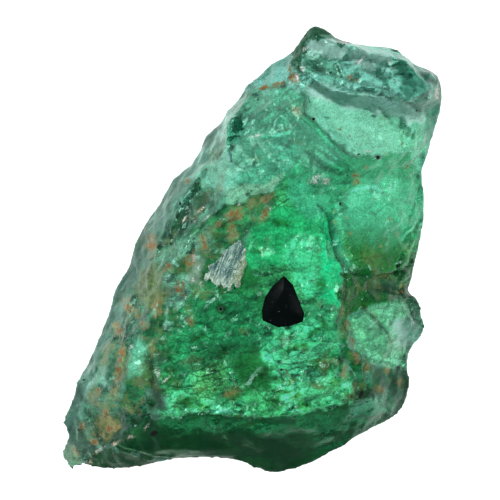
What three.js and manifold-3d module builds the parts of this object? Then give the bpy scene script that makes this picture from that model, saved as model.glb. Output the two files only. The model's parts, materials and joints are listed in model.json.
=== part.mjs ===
// A piece of rough emerald, lying on its flattest side and seen from above.
//
// The stone is a broken lump of one crystal. Its front is a net of fracture faces that meet along sharp
// ridges, its back is a flat cleavage with a few chips, and the two meet along a thin, ragged rim.
// A black crystal sits in a pocket of the front, and a flake of mica in a shallow one beside it.
//
// Units are millimetres. X runs to the right and Y to the top of the stone as it is seen from above, and
// Z points up, away from the face that it lies on. The origin is under the middle of the stone.

import * as THREE from "three";
import { ConvexGeometry } from "three/addons/geometries/ConvexGeometry.js";
import { ImprovedNoise } from "three/addons/math/ImprovedNoise.js";
import { mergeVertices } from "three/addons/utils/BufferGeometryUtils.js";
import Module from "manifold-3d";

const wasm = await Module();
wasm.setup();

// Driving dimensions
const LENGTH = 32; // of the stone along Y
const WIDTH = 27.5; // along X
const THICKNESS = 12.4; // from the face that it lies on to its highest ridge
const FRONT_STEP = 0.55; // between the points of the front's surface
const BACK_STEP = 1.1;
const RIDGE_STEP = 0.5; // between points along a ridge or the rim
const SAME_POINT = 0.05; // two faces share a ridge, whose points are closer than this
const POCKET_GAP = 0.15; // around the black crystal and the mica

// The rim, clockwise from the top peak: x, y and the height z where the front meets the back.
const RIM = [
  [4.6, 16.0, 9.4], [5.2, 15.8, 9.4], [6.1, 15.1, 9.5], [7.1, 14.7, 9.3], [8.4, 14.5, 9.6],
  [9.6, 14.5, 9.2], [10.6, 14.3, 8.9], [10.9, 13.8, 9.0], [11.8, 13.2, 8.5], [12.7, 12.9, 8.2],
  [13.4, 12.5, 8.1], [13.7, 11.6, 7.8], [13.7, 10.6, 7.3], [13.5, 9.6, 7.3], [13.2, 8.6, 6.8],
  [12.9, 7.6, 6.9], [12.7, 6.8, 7.1], [12.3, 5.7, 7.1], [12.4, 4.6, 6.9], [12.5, 3.4, 6.3],
  [12.5, 2.3, 6.3], [12.3, 1.0, 5.8], [12.1, 0.0, 5.6], [11.8, -1.0, 5.7], [11.6, -2.0, 5.3],
  [11.4, -2.9, 4.9], [11.8, -3.4, 5.2], [12.3, -3.9, 5.5], [12.3, -4.7, 5.3], [12.7, -5.4, 5.4],
  [12.4, -6.1, 5.1], [11.8, -6.8, 4.9], [11.4, -7.5, 4.7], [11.3, -8.5, 4.8], [11.6, -9.4, 4.9],
  [11.4, -10.4, 4.5], [11.1, -11.3, 4.5], [10.6, -11.9, 5.2], [9.7, -12.4, 5.7], [8.5, -12.9, 6.3],
  [7.4, -13.5, 6.7], [6.6, -14.1, 6.8], [5.6, -14.6, 6.8], [4.4, -15.3, 6.7], [3.3, -15.7, 6.6],
  [2.1, -16.0, 6.7], [1.4, -16.0, 6.8], [0.4, -15.6, 7.0], [-0.9, -15.1, 7.1], [-2.1, -14.9, 7.0],
  [-3.9, -14.9, 6.7], [-5.4, -15.0, 6.3], [-7.1, -15.4, 5.6], [-8.6, -15.7, 4.9], [-9.9, -15.9, 4.1],
  [-11.1, -15.8, 3.6], [-12.1, -15.6, 2.9], [-12.9, -15.9, 2.7], [-13.9, -15.4, 2.6], [-13.6, -14.4, 3.0],
  [-13.2, -13.4, 3.4], [-13.6, -12.5, 3.3], [-13.3, -11.6, 3.6], [-12.8, -10.6, 3.6], [-12.6, -9.6, 3.9],
  [-11.9, -8.4, 3.9], [-11.3, -7.1, 4.3], [-10.7, -5.7, 4.1], [-10.1, -4.2, 4.4], [-10.0, -3.4, 4.4],
  [-9.6, -2.5, 4.6], [-8.8, -1.2, 4.4], [-8.4, 0.2, 4.7], [-8.0, 1.2, 5.0], [-7.3, 2.4, 4.9],
  [-6.5, 3.4, 5.3], [-6.0, 4.4, 5.4], [-5.5, 5.2, 5.7], [-4.3, 6.1, 5.7], [-3.7, 7.0, 5.9],
  [-3.2, 8.2, 6.3], [-2.1, 9.2, 6.3], [-1.6, 10.0, 6.6], [-0.8, 10.9, 6.9], [-0.4, 11.7, 7.3],
  [0.5, 12.4, 7.6], [1.3, 13.2, 8.1], [2.4, 13.8, 8.5], [3.1, 14.2, 9.0], [3.6, 15.0, 9.1],
  [4.1, 15.8, 9.4],
];

// Where two or more ridges of the front meet: x, y and z of each corner, by its place on the stone.
const CORNER = {
  shoulderFoot: [0.2, 11.3, 8.0],
  shoulderMid: [1.7, 11.9, 9.4],
  shoulderTop: [3.5, 11.6, 10.7],
  crownLeft: [3.5, 13.2, 10.8],
  crownEdge1: [4.3, 12.2, 11.6],
  crownEdge2: [5.7, 11.3, 12.0],
  crownEdge3: [7.3, 10.9, 12.2],
  crownEdge4: [9.3, 10.7, 12.1],
  crownEdge5: [11.3, 10.6, 11.5],
  crownRight: [12.7, 11.3, 10.1],
  crownBack1: [4.9, 15.2, 10.2],
  crownBack2: [7.6, 14.2, 11.2],
  crownBack3: [10.9, 13.3, 10.7],
  crownFoot1: [4.8, 11.1, 10.9],
  crownFoot2: [6.5, 10.2, 10.9],
  crownFoot3: [8.8, 9.8, 10.8],
  crownFoot4: [10.8, 9.8, 10.5],
  scarRight: [12.0, 9.3, 9.0],
  scarCorner: [11.6, 7.6, 8.9],
  scarFoot1: [9.9, 6.6, 10.3],
  scarFoot2: [8.2, 6.4, 11.3],
  scarFoot3: [6.8, 6.7, 11.7],
  scarFoot4: [5.9, 7.6, 11.9],
  scarLeft1: [4.9, 8.7, 12.0],
  scarLeft2: [3.8, 9.9, 11.8],
  leftRidge1: [-1.5, 8.9, 9.8],
  leftRidge2: [-1.6, 6.1, 10.8],
  leftRidge3: [-1.7, 3.4, 10.9],
  mintLeft: [-1.7, 4.7, 10.9],
  mintRight: [0.7, 4.6, 11.3],
  leftRidge4: [-4.2, 0.9, 9.5],
  leftRidge5: [-5.9, -2.1, 9.2],
  leftRidge6: [-7.6, -6.1, 8.8],
  leftRidge7: [-9.2, -10.0, 7.6],
  leftRidge8: [-10.6, -13.4, 5.2],
  slopeMid1: [-3.3, 5.9, 8.6],
  slopeMid2: [-5.6, 2.7, 7.4],
  slopeMid3: [-6.9, -0.3, 8.0],
  slopeMid4: [-8.3, -3.9, 6.6],
  slopeMid5: [-9.5, -7.3, 7.0],
  slopeMid6: [-11.3, -11.0, 5.2],
  lobeFoot: [0.4, 3.9, 10.7],
  lobeCorner: [2.5, 5.6, 11.7],
  faceLeft1: [0.6, 3.1, 10.5],
  faceLeft2: [-0.2, 0.7, 10.4],
  faceLeft3: [-0.5, -2.5, 10.3],
  faceLeft4: [-2.7, -3.7, 10.0],
  faceLeft5: [-5.7, -6.1, 9.5],
  faceLeft6: [-6.4, -9.3, 9.4],
  faceFootLeft: [-7.7, -12.6, 7.0],
  faceFoot1: [-2.9, -11.7, 9.3],
  faceFoot2: [0.9, -11.9, 9.5],
  faceFoot3: [3.6, -11.5, 9.5],
  faceFoot4: [6.8, -10.9, 9.3],
  faceFootRight: [8.9, -10.8, 8.0],
  faceRight1: [8.1, -9.1, 8.8],
  faceRight2: [7.0, -6.8, 9.7],
  faceRight3: [6.1, -4.7, 10.5],
  faceRight4: [6.4, -2.9, 10.6],
  wallBottom: [7.0, -1.3, 9.4],
  wallTop1: [4.7, 2.5, 11.2],
  wallTop2: [5.4, -0.6, 11.2],
  wallFoot1: [5.9, 2.0, 9.2],
  wallFoot2: [6.2, 0.4, 8.9],
  saddleFoot: [4.7, 4.1, 10.8],
  discLeft: [6.6, 3.7, 9.9],
  discTop1: [8.2, 4.5, 10.3],
  discTop2: [10.4, 5.1, 8.9],
  discFoot1: [8.9, -1.6, 8.3],
  discFoot2: [10.8, -1.3, 6.9],
  knobLeft: [7.1, -5.1, 8.2],
  knobTop1: [8.2, -3.9, 7.9],
  knobTop2: [9.9, -3.5, 7.3],
  knobFoot1: [7.7, -6.8, 7.9],
  knobFoot2: [9.6, -7.5, 7.4],
  lipLeft: [-9.9, -14.4, 5.9],
  lipMid: [-5.0, -14.2, 7.5],
  lipRight: [-1.1, -14.4, 7.8],
};

// The stretch of rim points from the one nearest to (x1, y1) to the one nearest to (x2, y2), clockwise.
function rimBetween(x1, y1, x2, y2) {
  const nearest = (x, y) => {
    const away = RIM.map((p) => Math.hypot(p[0] - x, p[1] - y));
    return away.indexOf(Math.min(...away));
  };
  const from = nearest(x1, y1);
  const count = ((nearest(x2, y2) - from + RIM.length) % RIM.length) + 1;
  return Array.from({ length: count }, (_, i) => RIM[(from + i) % RIM.length]);
}

const corners = (...names) => names.map((name) => CORNER[name]);

// The front's fracture faces. Each is a closed line of ridges, and load bows the film that is stretched
// between them: below zero it is dished like the scar of a chip, and above zero it swells.
const FACES = {
  slopeTop: {
    load: 0.12,
    line: [
      ...rimBetween(-3.7, 7.0, -0.4, 11.7),
      ...corners("shoulderFoot", "leftRidge1", "leftRidge2", "slopeMid1"),
    ],
  },
  darkPocket: {
    load: -1.1,
    line: corners("leftRidge2", "mintLeft", "leftRidge3", "leftRidge4", "slopeMid2", "slopeMid1"),
  },
  slopeUpper: {
    load: 0.2,
    line: [...rimBetween(-8.0, 1.2, -3.7, 7.0), ...corners("slopeMid1", "slopeMid2")],
  },
  shelfEdge: {
    load: -0.15,
    line: corners("leftRidge4", "leftRidge5", "slopeMid3", "slopeMid2"),
  },
  slopeMiddle: {
    load: -0.08,
    line: [...rimBetween(-10.1, -4.2, -8.0, 1.2), ...corners("slopeMid2", "slopeMid3", "slopeMid4")],
  },
  paleWindow: {
    load: -0.1,
    line: corners("leftRidge5", "leftRidge6", "slopeMid5", "slopeMid4", "slopeMid3"),
  },
  slopeLower: {
    load: 0.15,
    line: [...rimBetween(-12.6, -9.6, -10.1, -4.2), ...corners("slopeMid4", "slopeMid5")],
  },
  slopeFoot: {
    load: -0.2,
    line: corners("leftRidge6", "leftRidge7", "leftRidge8", "slopeMid6", "slopeMid5"),
  },
  toe: {
    load: 0.1,
    line: [...rimBetween(-13.9, -15.4, -12.6, -9.6), ...corners("slopeMid5", "slopeMid6", "leftRidge8")],
  },
  rustShelf: {
    load: -0.07,
    line: [
      ...corners("leftRidge3", "leftRidge4", "leftRidge5", "leftRidge6", "leftRidge7", "leftRidge8"),
      ...corners("faceFootLeft", "faceLeft6", "faceLeft5", "faceLeft4", "faceLeft3", "faceLeft2"),
      ...corners("faceLeft1", "lobeCorner", "mintRight", "lobeFoot"),
    ],
  },
  upperLeftLobe: {
    load: 0.1,
    line: [
      ...corners("shoulderFoot", "shoulderMid", "shoulderTop", "scarLeft2", "lobeCorner", "mintRight"),
      ...corners("mintLeft", "leftRidge2", "leftRidge1"),
    ],
  },
  mintFacet: { load: 0, line: corners("mintLeft", "mintRight", "lobeFoot", "leftRidge3") },
  shoulder: {
    load: 0.16,
    line: [
      ...rimBetween(-0.4, 11.7, 3.6, 15.0),
      ...corners("crownLeft", "shoulderTop", "shoulderMid", "shoulderFoot"),
    ],
  },
  crownTop: {
    load: 0.3,
    line: [
      ...rimBetween(3.6, 15.0, 13.4, 12.5),
      ...corners("crownRight", "crownBack3", "crownBack2", "crownBack1", "crownLeft"),
    ],
  },
  crown: {
    load: -0.1,
    line: [
      ...corners("crownLeft", "crownBack1", "crownBack2", "crownBack3", "crownRight", "crownEdge5"),
      ...corners("crownEdge4", "crownEdge3", "crownEdge2", "crownEdge1"),
    ],
  },
  crownWall: {
    load: -0.3,
    line: [
      ...corners("crownLeft", "crownEdge1", "crownEdge2", "crownEdge3", "crownEdge4", "crownEdge5"),
      ...corners("crownFoot4", "crownFoot3", "crownFoot2", "crownFoot1", "shoulderTop"),
    ],
  },
  upperScar: {
    load: -0.3,
    line: [
      ...corners("shoulderTop", "crownFoot1", "crownFoot2", "crownFoot3", "crownFoot4", "scarRight"),
      ...corners("scarCorner", "scarFoot1", "scarFoot2", "scarFoot3", "scarFoot4", "scarLeft1", "scarLeft2"),
    ],
  },
  rightWall: {
    load: 0.12,
    line: [
      ...rimBetween(13.4, 12.5, 12.7, 6.8),
      ...corners("scarCorner", "scarRight", "crownFoot4", "crownEdge5", "crownRight"),
    ],
  },
  saddle: {
    load: -0.2,
    line: [
      ...corners("lobeCorner", "scarLeft2", "scarLeft1", "scarFoot4", "scarFoot3", "discTop1", "discLeft"),
      ...corners("saddleFoot"),
    ],
  },
  shoulderBand: {
    load: 0.15,
    line: [
      ...corners("scarFoot3", "scarFoot2", "scarFoot1", "scarCorner"),
      ...rimBetween(12.7, 6.8, 12.4, 4.6),
      ...corners("discTop2", "discTop1"),
    ],
  },
  disc: {
    load: 0.3,
    line: [
      ...corners("discLeft", "discTop1", "discTop2"),
      ...rimBetween(12.4, 4.6, 11.6, -2.0),
      ...corners("discFoot2", "discFoot1", "wallBottom", "wallFoot2", "wallFoot1"),
    ],
  },
  wall: {
    load: 0,
    line: corners("saddleFoot", "discLeft", "wallFoot1", "wallFoot2", "wallBottom", "wallTop2", "wallTop1"),
  },
  centralFace: {
    load: -0.02,
    line: [
      ...corners("lobeCorner", "saddleFoot", "wallTop1", "wallTop2", "wallBottom", "faceRight4"),
      ...corners("faceRight3", "faceRight2", "faceRight1", "faceFootRight", "faceFoot4", "faceFoot3"),
      ...corners("faceFoot2", "faceFoot1", "faceFootLeft", "faceLeft6", "faceLeft5", "faceLeft4"),
      ...corners("faceLeft3", "faceLeft2", "faceLeft1"),
    ],
  },
  notch: {
    load: -0.5,
    line: [
      ...corners("wallBottom", "discFoot1", "discFoot2"),
      ...rimBetween(11.6, -2.0, 11.4, -2.9),
      ...corners("knobTop2", "knobTop1", "knobLeft", "faceRight3", "faceRight4"),
    ],
  },
  knob: {
    load: 0.55,
    line: [
      ...corners("knobLeft", "knobTop1", "knobTop2"),
      ...rimBetween(11.4, -2.9, 11.4, -7.5),
      ...corners("knobFoot2", "knobFoot1"),
    ],
  },
  rustStrip: {
    load: -0.3,
    line: corners("faceRight3", "knobLeft", "knobFoot1", "faceRight2"),
  },
  lowChip: {
    load: -0.2,
    line: [
      ...corners("faceRight2", "knobFoot1", "knobFoot2"),
      ...rimBetween(11.4, -7.5, 10.6, -11.9),
      ...corners("faceFootRight", "faceRight1"),
    ],
  },
  bottomRight: {
    load: 0.06,
    line: [
      ...corners("faceFoot2", "faceFoot3", "faceFoot4", "faceFootRight"),
      ...rimBetween(10.6, -11.9, 2.1, -16.0),
    ],
  },
  bottomLeft: {
    load: 0.05,
    line: [
      ...corners("faceFootLeft", "faceFoot1", "faceFoot2"),
      ...rimBetween(2.1, -16.0, -0.9, -15.1),
      ...corners("lipRight", "lipMid", "lipLeft"),
    ],
  },
  lip: {
    load: 0.12,
    line: [
      ...rimBetween(-0.9, -15.1, -11.1, -15.8),
      ...corners("lipLeft", "lipMid", "lipRight"),
    ],
  },
  lowCorner: {
    load: -0.1,
    line: [
      ...corners("leftRidge8", "faceFootLeft", "lipLeft"),
      ...rimBetween(-11.1, -15.8, -13.9, -15.4),
    ],
  },
};

// The flat cleavage that the stone lies on.
const BASE = [
  [5.4, 12.4], [9.6, 11.9], [11.2, 9.4], [10.4, 5.2], [10.6, 0.4], [9.4, -3.4], [9.6, -8.0],
  [7.6, -10.8], [3.2, -13.0], [-1.6, -12.4], [-6.0, -12.8], [-10.6, -12.9], [-10.4, -9.8], [-8.0, -5.0],
  [-5.6, 0.4], [-2.6, 5.4], [0.8, 9.4],
];

// Scars where a flake sprang off the sides and the back, each a stretch of a large ball: where its middle
// is on the stone, which way it faces, the ball's radius and how deep it bites.
const SCARS = {
  crownEnd: { at: [9.0, 13.6, 1.2], facing: [0.2, 1.0, -0.55], radius: 11.0, bite: 1.2 },
  crownEndLeft: { at: [3.4, 13.0, 1.4], facing: [-0.75, 1.0, -0.5], radius: 10.0, bite: 1.1 },
  crownUnder: { at: [6.0, 12.0, 0.0], facing: [0.0, 0.75, -1.0], radius: 9.0, bite: 1.0 },
  shoulderSide: { at: [-0.9, 9.2, 1.6], facing: [-1.0, 0.75, -0.5], radius: 11.0, bite: 1.1 },
  upperLeft: { at: [-4.2, 4.4, 1.4], facing: [-1.0, 0.45, -0.85], radius: 12.0, bite: 1.0 },
  middleLeft: { at: [-7.4, -1.8, 0.9], facing: [-0.8, 0.6, -0.8], radius: 12.0, bite: 0.6 },
  lowerLeft: { at: [-10.2, -7.6, 0.6], facing: [-0.7, 0.15, -1.0], radius: 12.0, bite: 0.7 },
  leftToe: { at: [-11.0, -12.8, 0.2], facing: [-0.45, -0.3, -1.0], radius: 9.0, bite: 0.5 },
  bottomLeftUnder: { at: [-6.4, -13.6, 0.7], facing: [0.15, -0.8, -0.9], radius: 14.0, bite: 0.7 },
  bottomUnder: { at: [0.4, -13.4, 0.6], facing: [-0.25, -0.7, -1.0], radius: 10.0, bite: 0.9 },
  bottomRightUnder: { at: [5.8, -12.4, 0.6], facing: [0.5, -0.8, -0.9], radius: 10.0, bite: 0.8 },
  lowRightSide: { at: [10.2, -9.2, 0.8], facing: [1.0, -0.5, -1.0], radius: 8.0, bite: 0.8 },
  knobSide: { at: [10.6, -4.6, 1.1], facing: [1.0, 0.25, -0.55], radius: 8.0, bite: 0.7 },
  discSide: { at: [11.2, 1.6, 1.2], facing: [1.0, -0.15, -0.7], radius: 10.0, bite: 1.0 },
  rightSide: { at: [11.8, 7.6, 1.2], facing: [1.0, 0.2, -0.45], radius: 8.0, bite: 0.9 },
  crownCorner: { at: [12.0, 11.2, 1.2], facing: [1.0, 0.7, -0.5], radius: 8.0, bite: 1.1 },
  underUpper: { at: [3.4, 8.4, 0.0], facing: [-0.3, 0.3, -1.0], radius: 22.0, bite: 0.5 },
  underLower: { at: [-6.4, -8.4, 0.0], facing: [-0.25, -0.1, -1.0], radius: 26.0, bite: 0.45 },
  underRight: { at: [8.4, -4.0, 0.0], facing: [0.4, 0.05, -1.0], radius: 15.0, bite: 0.4 },
};
const SCAR_STEP = 1.0; // between the points of a scar's surface
const SCAR_DETAIL = { least: 5, most: 24 }; // rows of triangles along an edge of the ball

// Pits etched in the central face: how many, and how wide and deep.
const PITS = { count: 90, leastRadius: 0.45, mostRadius: 1.1, leastDepth: 0.16, mostDepth: 0.5 };

// The steps that the crown's fracture left as it ran down from its upper left corner.
const LEDGES = { from: [4.2, 15.6], first: 2.2, spacing: 1.25, drop: 0.5 };

// The shallow chips that cover the whole front: how many, how far each leans, as a slope, and how much it
// is hollowed, in millimetres of rise for a square millimetre of distance from its middle. The level
// is how far they lie below the face, and none rises more than the most above that.
const CHIPS = { count: 110, lean: 0.2, hollow: 0.1, level: 0.12, most: 0.35 };

// The uneven swell that every broken face has, coarse and fine: its height and its length.
const SWELLS = [{ height: 0.2, length: 2.8 }, { height: 0.09, length: 1.1 }];
const SWELL_START = 0.9; // above the base, below which the stone stays flat
const CHIP_START = [4.5, 7.0]; // heights between which the chips of the front set in

// The black crystal: its outline in the face, its belly in the pocket, and its ridge above the face.
const BLACK_CRYSTAL = {
  at: [2.3, -3.7],
  outline: [
    [0.1, 1.75], [0.7, 1.15], [1.05, 0.1], [1.45, -0.8], [1.35, -1.3], [0.55, -1.6], [-0.3, -1.7],
    [-1.35, -1.25], [-1.4, -0.6], [-1.2, 0.25], [-0.65, 1.1],
  ],
  rise: 0.1, // of the outline above the face around it
  ridge: [[0.15, 0.9, 0.5], [0.45, -0.5, 0.55], [-0.6, -0.45, 0.5], [1.05, -0.85, 0.3], [-0.1, -1.15, 0.35]],
  depth: 1.5,
  bellyShare: 0.55, // of the outline, at the bottom of the pocket
};

// The mica flake: a thin, torn sheet that follows the face it grew on.
const MICA = {
  at: [-1.6, -1.4],
  outline: [
    [0.95, 1.75], [1.35, 1.1], [1.25, 0.2], [1.0, -0.9], [0.75, -1.5], [0.55, -1.1], [0.3, -1.6],
    [-0.1, -1.2], [-0.45, -1.45], [-0.7, -0.95], [-1.3, -0.9], [-0.95, -0.35], [-0.55, 0.3], [0.1, 1.1],
  ],
  thickness: 0.36,
  sunk: 0.7, // of that thickness, below the face
};

const SEAT_REACH = 1.6; // of the face around the middle of either, that it is set square to

const COLOURS = { emerald: 0x3bb57c, blackCrystal: 0x0f1516, mica: 0xa3b3a6 };

function inside(x, y, line) {
  let within = false;
  for (let i = 0, j = line.length - 1; i < line.length; j = i++) {
    const [[x1, y1], [x2, y2]] = [line[i], line[j]];
    if (y1 > y !== y2 > y && x < ((x2 - x1) * (y - y1)) / (y2 - y1) + x1) within = !within;
  }
  return within;
}

// Points along a closed line, no further apart than step, each with the height of the line there.
function pointsAlong(line, step) {
  return line.flatMap((from, i) => {
    const to = line[(i + 1) % line.length];
    const parts = Math.max(1, Math.ceil(Math.hypot(to[0] - from[0], to[1] - from[1]) / step));
    return Array.from({ length: parts }, (_, k) =>
      [0, 1, 2].map((axis) => from[axis] + ((to[axis] - from[axis]) * k) / parts),
    );
  });
}

// Points on a loose triangular grid inside the rim, none nearer than clearance to a point in fixed.
function pointsWithin(step, fixed, clearance) {
  const found = [];
  const rowStep = (step * Math.sqrt(3)) / 2;
  const loose = () => (THREE.MathUtils.seededRandom() - 0.5) * step * 0.35;
  for (let row = 0; row * rowStep < LENGTH; row++) {
    for (let column = 0; column * step < WIDTH + step; column++) {
      const x = -WIDTH / 2 + (column + (row % 2) / 2) * step + loose();
      const y = -LENGTH / 2 + row * rowStep + loose();
      const clear = fixed.every((p) => Math.hypot(p[0] - x, p[1] - y) > clearance);
      if (clear && inside(x, y, RIM)) found.push([x, y]);
    }
  }
  return found;
}

// Delaunay's triangles over points, found by adding one point at a time, without those outside the rim.
function triangulate(points) {
  const far = 10 * LENGTH;
  const all = [...points, [-far, -far], [far, -far], [0, far]];
  const circled = (corner) => {
    const [[ax, ay], [bx, by], [cx, cy]] = corner.map((i) => all[i]);
    const d = 2 * (ax * (by - cy) + bx * (cy - ay) + cx * (ay - by));
    const [a, b, c] = [ax * ax + ay * ay, bx * bx + by * by, cx * cx + cy * cy];
    const x = (a * (by - cy) + b * (cy - ay) + c * (ay - by)) / d;
    const y = (a * (cx - bx) + b * (ax - cx) + c * (bx - ax)) / d;
    return { corner, x, y, reach: (ax - x) ** 2 + (ay - y) ** 2 };
  };
  let triangles = [circled([points.length, points.length + 1, points.length + 2])];
  points.forEach(([x, y], index) => {
    const edges = new Map();
    triangles = triangles.filter((t) => {
      if ((t.x - x) ** 2 + (t.y - y) ** 2 > t.reach) return true;
      t.corner.forEach((from, i) => {
        const to = t.corner[(i + 1) % 3];
        const back = `${to},${from}`;
        if (edges.has(back)) edges.delete(back);
        else edges.set(`${from},${to}`, [from, to]);
      });
      return false;
    });
    for (const [from, to] of edges.values()) triangles.push(circled([from, to, index]));
  });
  return triangles
    .map((t) => t.corner)
    .filter((corner) => corner.every((i) => i < points.length))
    .filter((corner) => {
      const middle = [0, 1].map((axis) => corner.reduce((sum, i) => sum + points[i][axis], 0) / 3);
      return inside(...middle, RIM);
    });
}

// Heights of a film held at its fixed points, the first ones, and bowed by loadAt everywhere else.
function stretch(points, triangles, fixedCount, loadAt) {
  const near = points.map(() => new Set());
  for (const corner of triangles) {
    corner.forEach((i, k) => {
      near[i].add(corner[(k + 1) % 3]);
      near[i].add(corner[(k + 2) % 3]);
    });
  }
  const heights = points.map((p) => p[2] ?? THICKNESS / 2);
  const sweeps = 600;
  for (let sweep = 0; sweep < sweeps; sweep++) {
    for (let i = fixedCount; i < points.length; i++) {
      const around = [...near[i]];
      const [x, y] = points[i];
      const reach = around.reduce((s, j) => s + (points[j][0] - x) ** 2 + (points[j][1] - y) ** 2, 0);
      const level = around.reduce((sum, j) => sum + heights[j], 0) / around.length;
      heights[i] = level + (loadAt(i) * reach) / around.length / 4;
    }
  }
  return heights;
}

// Etched pits, each a round dish, scattered over the central face.
function etchedPits() {
  const random = () => THREE.MathUtils.seededRandom();
  const pits = [];
  while (pits.length < PITS.count) {
    const x = (random() - 0.5) * WIDTH;
    const y = (random() - 0.5) * LENGTH;
    if (!inside(x, y, FACES.centralFace.line)) continue;
    const size = random();
    pits.push({
      x,
      y,
      radius: THREE.MathUtils.lerp(PITS.leastRadius, PITS.mostRadius, size),
      depth: THREE.MathUtils.lerp(PITS.leastDepth, PITS.mostDepth, size),
    });
  }
  return pits;
}

// The chips' middles and slopes, scattered over the whole front.
function scatteredChips() {
  const random = () => THREE.MathUtils.seededRandom() - 0.5;
  return Array.from({ length: CHIPS.count }, () => ({
    x: random() * WIDTH,
    y: random() * LENGTH,
    slope: [random() * 2 * CHIPS.lean, random() * 2 * CHIPS.lean],
  }));
}

// The relief of the chips at a point: the lowest of all their dishes, so that neighbours meet in a ridge.
function chipRelief(chips, x, y) {
  const heights = chips.map((chip) => {
    const [dx, dy] = [x - chip.x, y - chip.y];
    return chip.slope[0] * dx + chip.slope[1] * dy + CHIPS.hollow * (dx * dx + dy * dy);
  });
  return Math.min(CHIPS.most, ...heights) - CHIPS.level;
}

function pitDepth(pits, x, y) {
  return pits.reduce((deepest, pit) => {
    const away = Math.hypot(pit.x - x, pit.y - y) / pit.radius;
    return away < 1 ? Math.max(deepest, pit.depth * (1 - away * away)) : deepest;
  }, 0);
}

// How far a point of the crown lies below its face: each ledge starts with a drop and climbs back slowly.
function ledgeDepth(x, y) {
  if (!inside(x, y, FACES.crown.line)) return 0;
  const away = (Math.hypot(x - LEDGES.from[0], y - LEDGES.from[1]) - LEDGES.first) / LEDGES.spacing;
  return away < 0 ? 0 : LEDGES.drop * (1 - (away - Math.floor(away)));
}

function frontSurface() {
  const fixed = pointsAlong(RIM, RIDGE_STEP);
  for (const { line } of Object.values(FACES)) {
    for (const point of pointsAlong(line, RIDGE_STEP)) {
      const isNew = fixed.every((p) => Math.hypot(p[0] - point[0], p[1] - point[1]) > SAME_POINT);
      if (isNew) fixed.push(point);
    }
  }
  const points = [...fixed, ...pointsWithin(FRONT_STEP, fixed, FRONT_STEP * 0.62)];
  const triangles = triangulate(points);
  const faces = Object.values(FACES);
  const loads = points.map(([x, y]) => faces.find(({ line }) => inside(x, y, line))?.load ?? 0);
  const heights = stretch(points, triangles, fixed.length, (i) => loads[i]);
  const pits = etchedPits();
  const vertices = points.map(([x, y], i) => {
    const hollow = i < fixed.length ? 0 : pitDepth(pits, x, y) + ledgeDepth(x, y);
    return [x, y, heights[i] - hollow];
  });
  return { vertices, triangles };
}

function backSurface() {
  const rim = pointsAlong(RIM, RIDGE_STEP);
  const edge = pointsAlong(BASE.map(([x, y]) => [x, y, 0]), RIDGE_STEP);
  const fixed = [...rim, ...edge];
  const loose = pointsWithin(BACK_STEP, fixed, BACK_STEP * 0.5);
  const onBase = loose.filter(([x, y]) => inside(x, y, BASE)).map(([x, y]) => [x, y, 0]);
  const onSides = loose.filter(([x, y]) => !inside(x, y, BASE));
  const points = [...fixed, ...onBase, ...onSides];
  const triangles = triangulate(points);
  const heights = stretch(points, triangles, fixed.length + onBase.length, () => 0);
  return { vertices: points.map(([x, y], i) => [x, y, heights[i]]), triangles };
}

// Moves a point of a broken face by smooth noise, and one of the front by the chips as well. A point on or
// near the base moves little or not at all, and one on the rim moves only up or down, so that the outline
// stays as it is listed.
const noise = new ImprovedNoise();
const rim = pointsAlong(RIM, RIDGE_STEP);
const chips = scatteredChips();
function swell([x, y, z]) {
  const share = THREE.MathUtils.smoothstep(z, 0, SWELL_START);
  const rimAway = Math.min(...rim.map((p) => Math.hypot(p[0] - x, p[1] - y, p[2] - z)));
  const sideShare = share * THREE.MathUtils.smoothstep(rimAway, 0, SWELL_START);
  const chipShare = THREE.MathUtils.smoothstep(z, ...CHIP_START) * sideShare;
  const moved = [x, y, z + chipShare * chipRelief(chips, x, y)];
  for (const { height, length } of SWELLS) {
    for (const axis of [0, 1, 2]) {
      const shift = 17 * (axis + 1);
      const push = noise.noise(x / length + shift, y / length - shift, z / length + shift);
      moved[axis] += (axis === 2 ? share : sideShare) * height * push;
    }
  }
  return moved;
}

function triangleMesh(surfaces) {
  const positions = surfaces.flatMap(({ vertices, triangles, upwards }) => {
    return triangles.flatMap(([a, b, c]) => {
      const [p, q, r] = [vertices[a], vertices[b], vertices[c]];
      const turnsLeft = (q[0] - p[0]) * (r[1] - p[1]) - (q[1] - p[1]) * (r[0] - p[0]) > 0;
      const order = turnsLeft === upwards ? [a, b, c] : [a, c, b];
      return order.flatMap((i) => vertices[i]);
    });
  });
  return new THREE.BufferGeometry().setAttribute("position", new THREE.Float32BufferAttribute(positions, 3));
}

function solidOf(geometry) {
  const bare = geometry.clone();
  bare.deleteAttribute("normal");
  bare.deleteAttribute("uv");
  const merged = mergeVertices(bare, 1e-4);
  return new wasm.Manifold(
    new wasm.Mesh({
      numProp: 3,
      vertProperties: merged.attributes.position.array,
      triVerts: new Uint32Array(merged.index.array),
    }),
  );
}

function geometryOf(solid) {
  const { vertProperties, triVerts } = solid.getMesh();
  return new THREE.BufferGeometry()
    .setAttribute("position", new THREE.BufferAttribute(vertProperties, 3))
    .setIndex(new THREE.BufferAttribute(triVerts, 1));
}

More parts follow.
